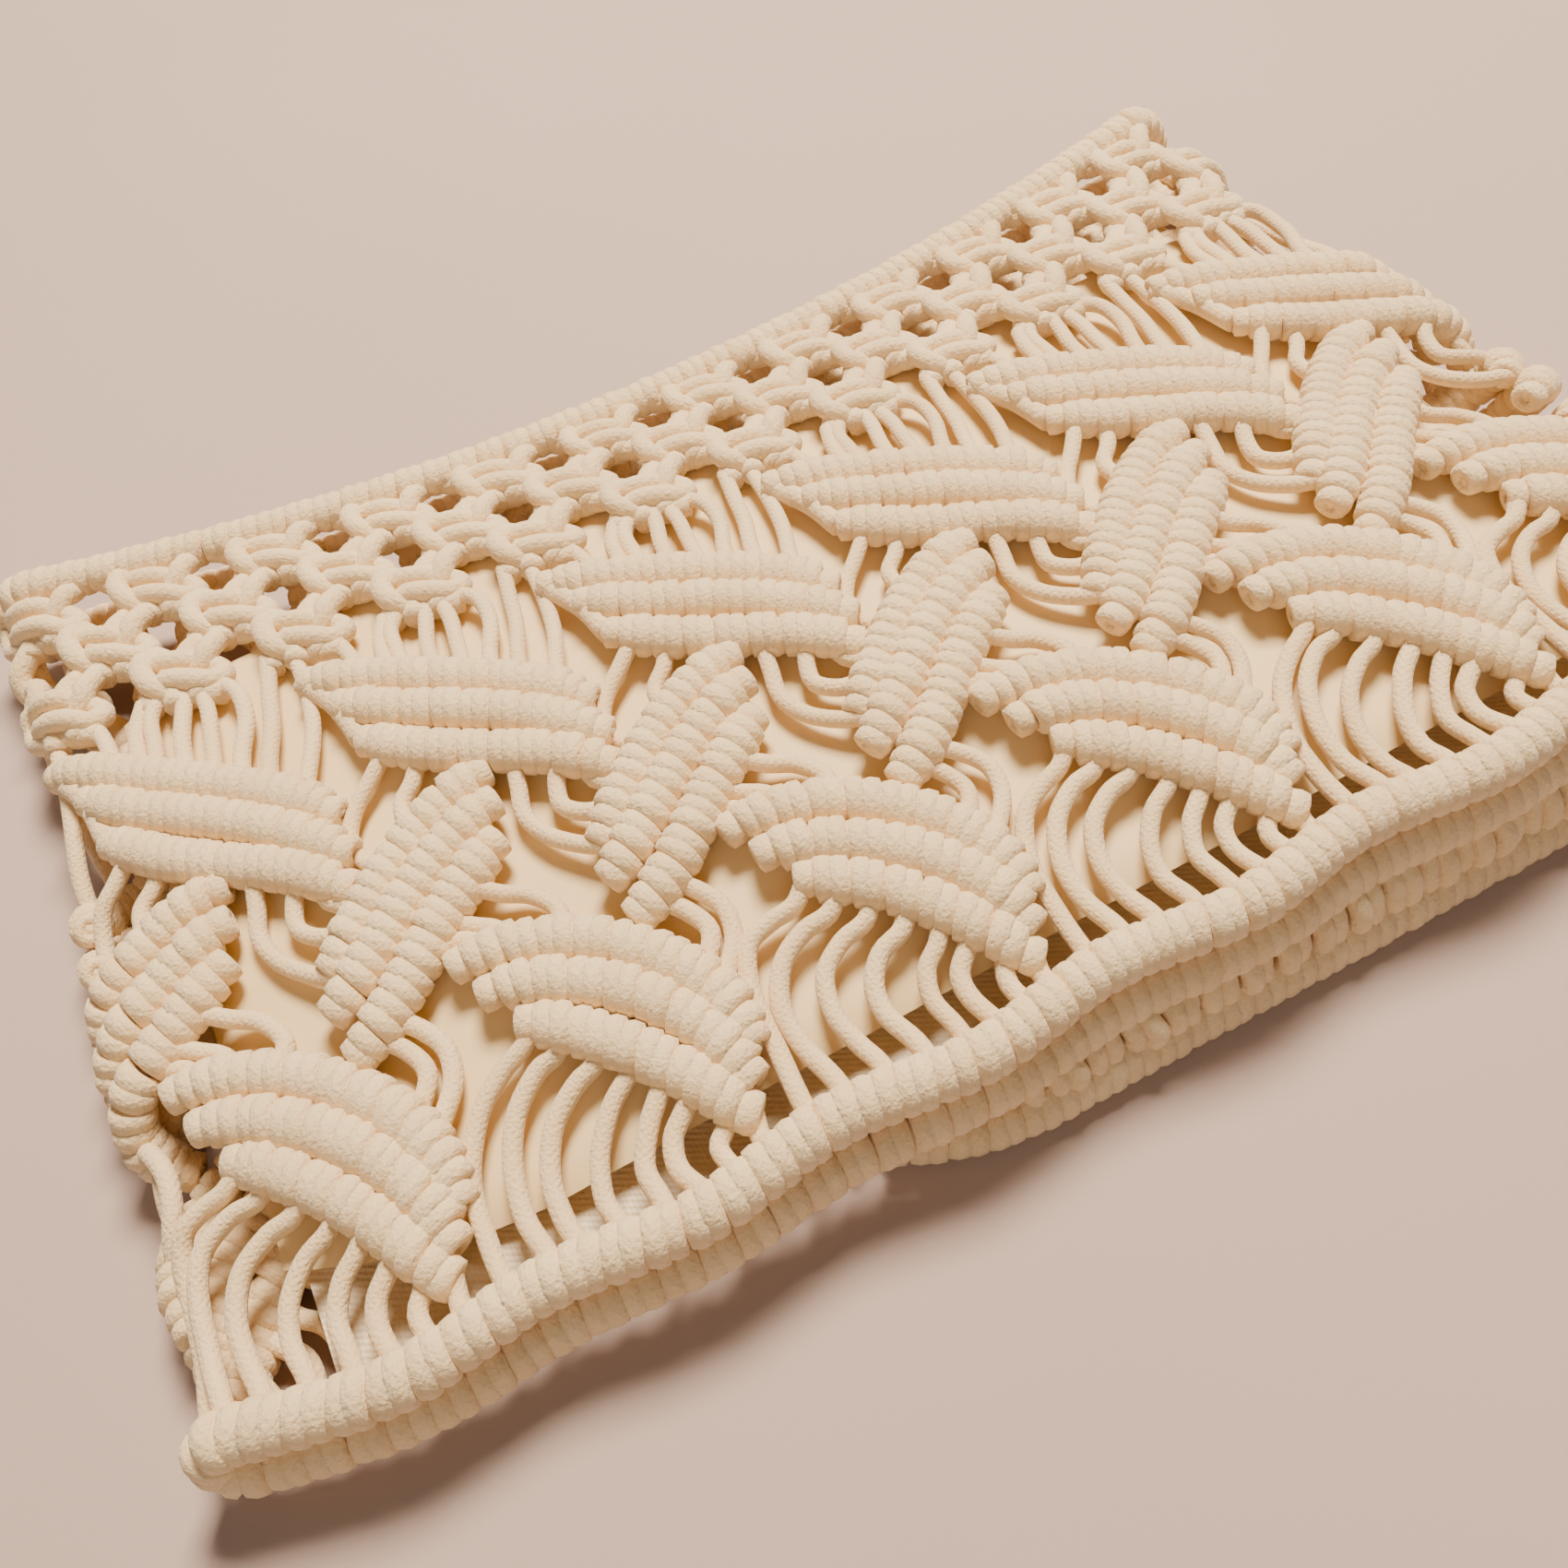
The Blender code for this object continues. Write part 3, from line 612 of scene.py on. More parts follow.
@dataclass
class LeafRow:
    """A row of like leaves round the tube, one piece for each side of the bag."""

    form: BagForm
    ribs: RibMaker
    leaf: Leaf
    tip_size: float = 0.68
    tip_rise: float = 0.55
    tip_run: float = 2.2
    crown: float = 0.4 * MM
    sway: float = 0.012
    tie_radius: float = 2.1 * MM
    tie_out: float = 1.7 * MM

    def leaf_ribs(self, work: CordWork, turn: int) -> None:
        """Lay the ribs of one leaf, and where they are tied the cord over their starts.

        Args:
            work: The piece that it goes into.
            turn: The turn at which the leaf's repeat starts.
        """
        dice = self.ribs.dice
        starts: list[Point] = []
        for index, rib in enumerate(self.leaf.ribs):
            rows = self.leaf.rib_line(rib)
            line, outs, sizes = [], [], []
            sway = dice.uniform(-self.sway, self.sway)
            for x, y, share in rows:
                body = min(1.0, self.tip_run * bell(share))
                size = mix(self.tip_size, 1.0, body)
                top = mix(self.form.leaf_base, self.form.leaf_top, mix(self.tip_rise, 1.0, body))
                out = top - self.form.rib / 2 * size + (self.crown if index == 1 else 0.0)
                level = y + sway * bell(share)
                line.append(self.form.place(turn + x, level, out))
                outs.append(self.form.outward(turn + x, level))
                sizes.append(size)
            self.ribs.lay(work, np.array(line), np.array(outs), np.array(sizes), self.leaf.lean)
            starts.append((turn + rows[0][0], rows[0][1], self.tie_out))
        if self.leaf.tied:
            self.tie(work, starts)

    def tie(self, work: CordWork, starts: Sequence[Point]) -> None:
        """Run the holding cord from rib start to rib start.

        Args:
            work: The piece that it goes into.
            starts: The turn, level and offset outward of each start.
        """
        line = smooth_line(starts, 6)
        placed = np.array([self.form.place(*row) for row in line])
        work.cord(placed, self.tie_radius, self.ribs.dice.random())

    def build(self, side: Side, material: bpy.types.Material) -> bpy.types.Object:
        """Make the row's leaves on one side of the bag.

        Args:
            side: The side of the bag.
            material: The piece's finish.

        Returns:
            The finished piece.
        """
        work = CordWork(f"{self.leaf.word}_ribs_{side.word}")
        first = round(side.value - Side.FRONT.value)
        turns = range(first, first + self.form.repeats)
        for turn in turns:
            self.leaf_ribs(work, turn)
        piece = work.build(material)
        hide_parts(*[f"{self.leaf.word}_{turn + 1:02d}" for turn in turns])
        return dressed(piece)


def dressed(piece: bpy.types.Object) -> bpy.types.Object:
    """Let a piece ride on the bag.

    Args:
        piece: The piece.

    Returns:
        The same piece.
    """
    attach(piece, ROOT)
    LOG.info("built %s with %d faces", piece.name, len(piece.data.polygons))
    return piece


@dataclass
class KnotBand:
    """Alternating square knots under the mouth rib, three rows deep."""

    form: BagForm
    dice: random.Random
    cord_radius: float = 2.15 * MM
    filler_radius: float = 2.4 * MM
    first_row: float = 2.17
    row_step: float = 0.26
    rows: int = 3
    column_step: float = 0.5
    first_column: float = 0.16
    wobble: float = 0.22
    size_play: tuple[float, float] = (0.97, 1.05)

    LEFT_ABOVE = ((-9.8, 8.4, 0.3), (-7.8, 6.3, 0.6))
    RIGHT_ABOVE = ((9.8, 8.4, 0.5), (8.1, 5.8, 1.8))
    LEFT_FROM_RIB = ((-10.4, 8.8, 1.6), (-8.4, 5.8, 1.2))
    RIGHT_FROM_RIB = ((10.4, 8.6, 1.6), (8.6, 5.4, 2.0))
    OVER = (
        (-5.1, 4.6, 1.2), (-1.9, 3.5, 2.5), (1.8, 2.2, 2.7), (4.8, 1.0, 1.5), (7.3, -0.9, 0.7),
        (7.5, -2.9, 0.9), (5.3, -4.1, 1.8), (1.8, -2.8, 2.7), (-1.8, -1.5, 2.6), (-4.6, -0.9, 1.2),
        (-6.6, -2.6, 0.5), (-6.9, -5.4, 0.3),
    )
    UNDER = (
        (6.4, 2.8, 3.1), (4.5, 0.2, 1.9), (1.8, 0.4, 0.0), (-1.5, 2.9, -0.3), (-3.6, 5.0, 0.9),
        (-5.3, 4.9, 2.7), (-6.3, 2.6, 3.0), (-6.1, -0.2, 3.0), (-4.8, -2.3, 2.3), (-2.4, -3.2, 0.2),
        (0.8, -4.2, -0.4), (3.4, -5.4, 0.4), (6.4, -6.6, 0.6),
    )
    FILLERS = (
        ((-5.4, 8.0, 0.6), (-2.5, 5.4, 0.9), (-1.8, 2.0, 0.8), (-1.8, -2.5, 0.7), (-2.6, -6.2, 0.6)),
        ((5.4, 8.0, 0.6), (2.5, 5.4, 1.0), (1.8, 2.0, 0.8), (1.8, -2.5, 0.7), (2.6, -6.2, 0.6)),
    )
    RIB_FILLERS = (
        ((-4.4, 8.8, 1.8), (-2.8, 5.4, 1.2), (-1.8, 2.0, 0.8), (-1.8, -2.5, 0.7), (-2.6, -6.2, 0.6)),
        ((4.0, 8.8, 1.8), (2.4, 5.4, 1.2), (1.8, 2.0, 0.8), (1.8, -2.5, 0.7), (2.6, -6.2, 0.6)),
    )

    def strand(
        self,
        work: CordWork,
        turn: float,
        level: float,
        points: Iterable[Point],
        radius: float,
    ) -> None:
        """One cord of a knot.

        Args:
            work: The piece that the cord goes into.
            turn: The turn of the knot's middle.
            level: The level of the knot's middle.
            points: The cord's points, in millimetres beside the knot's middle.
            radius: The cord's radius.
        """
        pitch = self.form.pitch
        placed = [
            (
                turn + (x + self.dice.uniform(-self.wobble, self.wobble)) * MM / pitch,
                level + (y + self.dice.uniform(-self.wobble, self.wobble)) * MM / pitch,
                out * MM,
            )
            for x, y, out in points
        ]
        line = smooth_line(placed, 3)
        line = np.array([self.form.place(*row) for row in line])
        work.cord(line, radius * self.dice.uniform(*self.size_play), self.dice.random())

    def knot(self, work: CordWork, turn: float, row: int) -> None:
        """One square knot: a cord over, a cord under, and two straight fillers.

        Args:
            work: The piece that it goes into.
            turn: The turn of the knot's middle.
            row: The knot's row, 0 under the mouth rib.
        """
        level = self.first_row - row * self.row_step
        top = row == 0
        left = self.LEFT_FROM_RIB if top else self.LEFT_ABOVE
        right = self.RIGHT_FROM_RIB if top else self.RIGHT_ABOVE
        self.strand(work, turn, level, (*left, *self.OVER), self.cord_radius)
        self.strand(work, turn, level, (*right, *self.UNDER), self.cord_radius)
        for points in self.RIB_FILLERS if top else self.FILLERS:
            self.strand(work, turn, level, points, self.filler_radius)

    def build(self, side: Side, material: bpy.types.Material) -> bpy.types.Object:
        """Make the knots on one side of the bag.

        Args:
            side: The side of the bag.
            material: The piece's finish.

        Returns:
            The finished piece.
        """
        work = CordWork(f"square_knots_{side.word}")
        low = side.value
        columns = round(self.form.repeats / self.column_step)
        for row in range(self.rows):
            shift = self.first_column + (self.column_step / 2 if row % 2 else 0.0)
            for column in range(-1, columns + 1):
                turn = round(low - Side.FRONT.value) - 1 + shift + column * self.column_step
                if low <= turn < low + self.form.repeats:
                    self.knot(work, turn, row)
        piece = work.build(material)
        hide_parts(f"{side.word}_knot_band")
        return dressed(piece)


@dataclass
class NetCords:
    """The free cords between the knots, the leaves and the bottom ribs."""

    form: BagForm
    dice: random.Random
    cord_radius: float = 1.5 * MM
    cord_sides: int = 12
    step: float = 1.2 * MM
    sway: float = 0.012
    size_play: tuple[float, float] = (0.96, 1.05)

    FROM_KNOTS = (
        ((-0.23, 1.58, 0.8), (-0.20, 1.46, 1.0), (-0.17, 1.29, 2.2)),
        ((-0.015, 1.58, 0.8), (-0.06, 1.44, 1.2), (-0.08, 1.24, 2.2)),
        ((0.06, 1.60, 0.8), (0.00, 1.49, 1.3), (-0.01, 1.36, 1.6), (-0.02, 1.20, 2.2)),
        ((0.16, 1.58, 0.8), (0.13, 1.45, 1.3), (0.095, 1.30, 1.6), (0.085, 1.14, 2.2)),
        ((0.21, 1.58, 0.8), (0.225, 1.43, 1.3), (0.205, 1.26, 1.6), (0.18, 1.08, 2.2)),
        (
            (0.27, 1.58, 0.8), (0.355, 1.47, 1.4), (0.36, 1.32, 1.3), (0.30, 1.15, 1.6),
            (0.27, 1.02, 2.2),
        ),
        (
            (0.50, 1.60, 0.8), (0.465, 1.42, 0.8), (0.435, 1.25, 1.0), (0.385, 1.08, 1.6),
            (0.36, 0.94, 2.2),
        ),
        (
            (0.60, 1.60, 0.8), (0.595, 1.38, 0.6), (0.565, 1.15, 0.9), (0.505, 0.96, 1.6),
            (0.46, 0.84, 2.2),
        ),
    )
    BESIDE_LEAVES = (
        (
            (-0.20, 0.90, 2.2), (-0.29, 0.81, 1.2), (-0.385, 0.715, 0.6), (-0.44, 0.61, 0.4),
            (-0.43, 0.51, 0.8), (-0.37, 0.40, 2.2),
        ),
        (
            (-0.10, 0.83, 2.2), (-0.15, 0.74, 1.0), (-0.22, 0.67, 0.6), (-0.23, 0.58, 1.0),
            (-0.20, 0.50, 2.2),
        ),
        ((0.03, 0.76, 2.2), (0.00, 0.68, 1.3), (-0.02, 0.58, 2.2)),
        (
            (-0.80, 0.62, 2.2), (-0.83, 0.50, 0.9), (-0.855, 0.38, 0.4), (-0.81, 0.26, 0.5),
            (-0.72, 0.16, 1.2), (-0.64, 0.10, 2.2),
        ),
        (
            (-0.66, 0.52, 2.2), (-0.70, 0.44, 1.0), (-0.715, 0.35, 0.6), (-0.655, 0.28, 0.8),
            (-0.58, 0.25, 1.4), (-0.52, 0.22, 2.2),
        ),
        ((-0.55, 0.48, 2.2), (-0.585, 0.42, 1.2), (-0.54, 0.36, 1.2), (-0.47, 0.33, 2.2)),
        (
            (-0.10, 0.18, 2.2), (-0.03, 0.13, 1.2), (0.06, 0.08, 0.6), (0.12, -0.02, 0.6),
            (0.08, -0.11, 1.2), (0.03, -0.17, 2.2),
        ),
        (
            (-0.22, 0.10, 2.2), (-0.15, 0.06, 1.0), (-0.09, 0.02, 0.8), (-0.06, -0.05, 1.4),
            (-0.08, -0.12, 2.2),
        ),
        ((-0.28, 0.04, 2.2), (-0.21, 0.02, 1.2), (-0.18, -0.03, 1.4), (-0.19, -0.09, 2.2)),
        (
            (-0.52, -0.12, 2.2), (-0.44, -0.18, 1.1), (-0.385, -0.27, 0.6), (-0.40, -0.38, 0.5),
            (-0.47, -0.48, 1.2), (-0.54, -0.56, 2.2),
        ),
        (
            (-0.58, -0.16, 2.2), (-0.51, -0.24, 1.0), (-0.48, -0.33, 0.8), (-0.53, -0.42, 1.2),
            (-0.60, -0.48, 2.2),
        ),
    )
    ROUNDNESS = (0.5, 1.0, 0.0)
    FAN_FLAT = (
        (
            (-0.12, -0.35, 2.2), (-0.19, -0.41, 1.5), (-0.28, -0.42, 1.1), (-0.38, -0.46, 0.9),
            (-0.44, -0.60, 0.7), (-0.455, -0.80, 0.8), (-0.47, -0.97, 1.8), (-0.475, -1.08, 2.4),
        ),
        (
            (-0.04, -0.43, 2.2), (-0.11, -0.49, 1.5), (-0.21, -0.50, 1.1), (-0.32, -0.56, 0.9),
            (-0.39, -0.68, 0.7), (-0.39, -0.82, 0.8), (-0.355, -0.97, 1.8), (-0.345, -1.08, 2.4),
        ),
        (
            (0.04, -0.51, 2.2), (-0.02, -0.57, 1.5), (-0.12, -0.59, 1.1), (-0.22, -0.66, 0.9),
            (-0.255, -0.78, 0.7), (-0.235, -0.90, 0.9), (-0.21, -0.99, 1.8), (-0.205, -1.08, 2.4),
        ),
        (
            (0.12, -0.60, 2.2), (0.07, -0.66, 1.5), (-0.02, -0.69, 1.1), (-0.09, -0.77, 0.8),
            (-0.105, -0.87, 0.8), (-0.075, -0.99, 1.8), (-0.07, -1.08, 2.4),
        ),
        (
            (0.19, -0.69, 2.2), (0.14, -0.75, 1.5), (0.07, -0.80, 1.1), (0.035, -0.89, 0.9),
            (0.05, -1.00, 1.8), (0.055, -1.08, 2.4),
        ),
        (
            (0.26, -0.77, 2.2), (0.21, -0.82, 1.4), (0.15, -0.88, 1.0), (0.14, -0.96, 1.2),
            (0.17, -1.08, 2.4),
        ),
        ((0.33, -0.86, 2.2), (0.29, -0.91, 1.4), (0.26, -0.98, 1.4), (0.28, -1.08, 2.4)),
        ((0.39, -0.92, 2.2), (0.375, -0.99, 1.6), (0.38, -1.08, 2.4)),
    )
    FAN_ROUND = (
        (
            (-0.11, -0.37, 2.2), (-0.17, -0.41, 1.5), (-0.26, -0.45, 1.1), (-0.37, -0.54, 0.9),
            (-0.46, -0.70, 0.7), (-0.48, -0.86, 0.8), (-0.48, -1.00, 1.8), (-0.47, -1.08, 2.4),
        ),
        (
            (-0.03, -0.44, 2.2), (-0.09, -0.48, 1.5), (-0.17, -0.50, 1.1), (-0.28, -0.59, 0.9),
            (-0.35, -0.73, 0.7), (-0.37, -0.88, 0.8), (-0.345, -1.00, 1.8), (-0.335, -1.08, 2.4),
        ),
        (
            (0.06, -0.53, 2.2), (0.00, -0.57, 1.5), (-0.07, -0.59, 1.1), (-0.18, -0.67, 0.9),
            (-0.25, -0.80, 0.7), (-0.26, -0.93, 0.9), (-0.245, -1.02, 1.8), (-0.24, -1.08, 2.4),
        ),
        (
            (0.13, -0.61, 2.2), (0.09, -0.65, 1.5), (0.00, -0.71, 1.1), (-0.09, -0.82, 0.8),
            (-0.13, -0.94, 0.8), (-0.115, -1.03, 1.8), (-0.11, -1.08, 2.4),
        ),
        (
            (0.20, -0.70, 2.2), (0.15, -0.75, 1.5), (0.08, -0.82, 1.1), (0.02, -0.92, 0.9),
            (0.025, -1.02, 1.8), (0.03, -1.08, 2.4),
        ),
        (
            (0.26, -0.78, 2.2), (0.20, -0.83, 1.4), (0.14, -0.88, 1.0), (0.115, -0.97, 1.2),
            (0.15, -1.08, 2.4),
        ),
        ((0.33, -0.87, 2.2), (0.29, -0.92, 1.4), (0.24, -0.97, 1.4), (0.26, -1.08, 2.4)),
        ((0.39, -0.92, 2.2), (0.37, -0.99, 1.6), (0.37, -1.08, 2.4)),
    )

    def strand(self, work: CordWork, turn: float, points: Sequence[Point]) -> None:
        """One free cord, from points beside the repeat's start.

        Args:
            work: The piece that it goes into.
            turn: The turn at which the repeat starts.
            points: Turn and level beside that start, and offset outward in millimetres.
        """
        lean, rise = (self.dice.uniform(-self.sway, self.sway) for _ in range(2))
        placed = []
        for i, (x, y, out) in enumerate(points):
            free = bell(i / (len(points) - 1))
            placed.append((turn + x + lean * free, y + rise * free, out * MM))
        spans = []
        for here, there in zip(placed, placed[1:]):
            run = math.hypot(here[0] - there[0], here[1] - there[1]) * self.form.pitch
            spans.append(max(2, math.ceil(run / self.step)))
        line = smooth_line(placed, spans)
        line = np.array([self.form.place(*row) for row in line])
        radius = self.cord_radius * self.dice.uniform(*self.size_play)
        work.cord(line, radius, self.dice.random(), sides=self.cord_sides)

    def build(self, side: Side, material: bpy.types.Material) -> bpy.types.Object:
        """Make the free cords on one side of the bag.

        Args:
            side: The side of the bag.
            material: The piece's finish.

        Returns:
            The finished piece.
        """
        work = CordWork(f"net_cords_{side.word}")
        first = round(side.value - Side.FRONT.value)
        for turn in range(first, first + self.form.repeats):
            roundness = self.ROUNDNESS[turn % len(self.ROUNDNESS)]
            for points in (*self.FROM_KNOTS, *self.BESIDE_LEAVES):
                self.strand(work, turn, points)
            for flat, full in zip(self.FAN_FLAT, self.FAN_ROUND):
                points = [
                    tuple(mix(a, b, roundness) for a, b in zip(low, high))
                    for low, high in zip(flat, full)
                ]
                self.strand(work, turn, points)
        piece = work.build(material)
        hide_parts(f"{side.word}_net")
        return dressed(piece)


@dataclass
class EdgeRibs:
    """The wrapped ribs round the mouth and along the bottom edge."""

    form: BagForm
    ribs: RibMaker
    wave: float = 1.3 * MM
    back_wave: float = 0.6
    corner_swell: float = 0.3
    corner_share: float = 0.07
    end_gap: float = 0.0005
    turn_steps: int = 180
    mouth_lean: float = 0.12
    bottom_lean: float = 0.14
    bottom_step: float = 2.0 * MM

    BOTTOM_FACING = {Side.FRONT: (0.0, -0.35, 1.0), Side.BACK: (0.0, -1.0, 0.3)}

    def mouth(self, side: Side, material: bpy.types.Material) -> bpy.types.Object:
        """The mouth rib of one side.

        Args:
            side: The side of the bag.
            material: The piece's finish.

        Returns:
            The finished piece.
        """
        work = CordWork(f"mouth_wraps_{side.word}")
        out = self.form.leaf_top - self.form.rib / 2
        level = self.form.level_mouth + self.form.mouth_lift
        line, outs = [], []
        for i in range(self.turn_steps + 1):
            turn = side.value + mix(self.end_gap, self.form.repeats - self.end_gap, i / self.turn_steps)
            line.append(self.form.place(turn, level, out))
            outs.append(self.form.outward(turn, level))
        ends = np.abs(np.linspace(-1.0, 1.0, len(line)))
        near_end = np.clip((ends - 1 + self.corner_share) / self.corner_share, 0.0, 1.0)
        sizes = 1.0 + self.corner_swell * near_end
        self.ribs.lay(work, np.array(line), np.array(outs), sizes, self.mouth_lean)
        piece = work.build(material)
        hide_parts(f"mouth_rib_{side.word}")
        return dressed(piece)

    def bottom_points(self, side: Side) -> list[Vector]:
        """Centre line of one bottom rib: the two lie one on the other and turn at the ends.

        Args:
            side: The side of the bag that the rib belongs to.

        Returns:
            The line's points, from left to right.
        """
        half_step = (self.form.rib + self.form.gap) / 2
        reach = self.form.width / 2 - self.form.rib / 2 - half_step
        back = side is Side.BACK
        up = -1 if back else 1
        points: list[Vector] = []
        for end in (-1, 1):
            centre = self.form.front_bottom(end * reach) - Vector((0.0, 0.0, half_step))
            turn = []
            for angle in (0.0, math.pi / 6, math.pi / 3):
                lean = self.form.lean * (1 - math.cos(angle)) if back else 0.0
                offset = Vector((end * math.cos(angle), 0.0, up * math.sin(angle))) * half_step
                turn.append(centre + offset + Vector((0.0, -lean, up * self.form.gap / 2)))
            if end > 0:
                points += turn[::-1]
                break
            points += turn
            count = 2 * self.form.repeats
            for i in range(count + 1):
                x = mix(-reach, reach, i / count)
                point = self.form.front_bottom(x)
                sag = self.wave * math.cos(math.pi * i) * (self.back_wave if back else 1.0)
                point.y += sag if 0 < i < count else 0.0
                if back:
                    point -= Vector((0.0, self.form.lean, 2 * half_step))
                points.append(point)
        return points

    def bottom(self, side: Side, material: bpy.types.Material) -> bpy.types.Object:
        """One of the two bottom ribs.

        Args:
            side: The side of the bag.
            material: The piece's finish.

        Returns:
            The finished piece.
        """
        work = CordWork(f"bottom_wraps_{side.word}")
        points = self.bottom_points(side)
        line, _ = even_line(smooth_line(points, 8), self.bottom_step)
        outs = np.tile(self.BOTTOM_FACING[side], (len(line), 1))
        self.ribs.lay(work, line, outs, np.ones(len(line)), self.bottom_lean)
        piece = work.build(material)
        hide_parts(f"bottom_rib_{side.word}")
        return dressed(piece)


@dataclass
class Gusset:
    """The rib on the floor at the bottom edge, and the row of short cords above it."""

    form: BagForm
    ribs: RibMaker
    cord_radius: float = 1.8 * MM
    cord_step: float = 3.3 * MM
    pair_gap: float = 0.6 * MM
    tuck: float = 5.0 * MM
    tuck_share: float = 0.12
    bulge: float = 1.5 * MM
    bulge_play: tuple[float, float] = (0.5, 1.4)
    middle_bulge: float = 1.3
    slide: float = 0.5 * MM
    inset: float = 0.6 * MM
    seat: float = 2.0 * MM
    start_size: float = 0.6
    lean: float = 0.2
    steps: int = 60

    FACING = (0.0, -1.0, 0.5)

    def rib_centre(self, x: float) -> Vector:
        """Centre of the gusset rib at a place along X."""
        y = self.form.y_shift + self.form.level_bottom * self.form.pitch
        return Vector((x, y - self.form.gusset_out(x), self.form.rib / 2))

    def rib(self, material: bpy.types.Material) -> bpy.types.Object:
        """The wrapped rib that lies on the floor.

        Args:
            material: The piece's finish.

        Returns:
            The finished piece.
        """
        work = CordWork("gusset_wraps")
        start = self.form.along_front(self.form.gusset_start)
        end = self.form.width / 2 - self.form.rib
        line, sizes = [], []
        for i in range(self.steps + 1):
            near_start = max(0.0, 1 - i / self.steps / self.tuck_share)
            centre = self.rib_centre(mix(start, end, i / self.steps))
            line.append(centre + Vector((0.0, self.tuck * near_start**2, 0.0)))
            sizes.append(mix(1.0, self.start_size, near_start))
        line, sizes = np.array(line), np.array(sizes)
        outs = np.tile(self.FACING, (len(line), 1))
        self.ribs.lay(work, line, outs, sizes, self.lean)
        piece = work.build(material)
        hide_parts("gusset_rib")
        return dressed(piece)

    def cords(self, material: bpy.types.Material) -> bpy.types.Object:
        """The short cords between the back bottom rib and the gusset rib.

        Args:
            material: The piece's finish.

        Returns:
            The finished piece.
        """
        work = CordWork("gusset_short_cords")
        low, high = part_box("gusset_cords")
        step_down = self.form.rib + self.form.gap
        count = int((high.x - low.x) / self.cord_step)
        for i in range(count + 1):
            x = mix(low.x + self.inset, high.x - self.inset, i / count)
            x += self.pair_gap / 2 * (1 if i % 2 else -1)
            top = self.form.front_bottom(x) - Vector((0.0, self.form.lean, step_down))
            foot = self.rib_centre(x)
            drop = (foot - top).normalized()
            away = Vector((0.0, drop.z, -drop.y))
            away = away if away.y < 0 else -away
            dice = self.ribs.dice
            slide = Vector((dice.uniform(-self.slide, self.slide), 0.0, 0.0))
            swell = self.bulge * dice.uniform(*self.bulge_play)
            high_end = top + drop * self.seat
            low_end = foot - drop * self.seat
            points = [
                high_end,
                high_end.lerp(low_end, 0.25) + away * swell,
                high_end.lerp(low_end, 0.5) + away * swell * self.middle_bulge + slide,
                high_end.lerp(low_end, 0.75) + away * swell,
                low_end,
            ]
            line = smooth_line(points, 3)
            work.cord(line, self.cord_radius, dice.random())
        piece = work.build(material)
        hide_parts("gusset_cords")
        return dressed(piece)


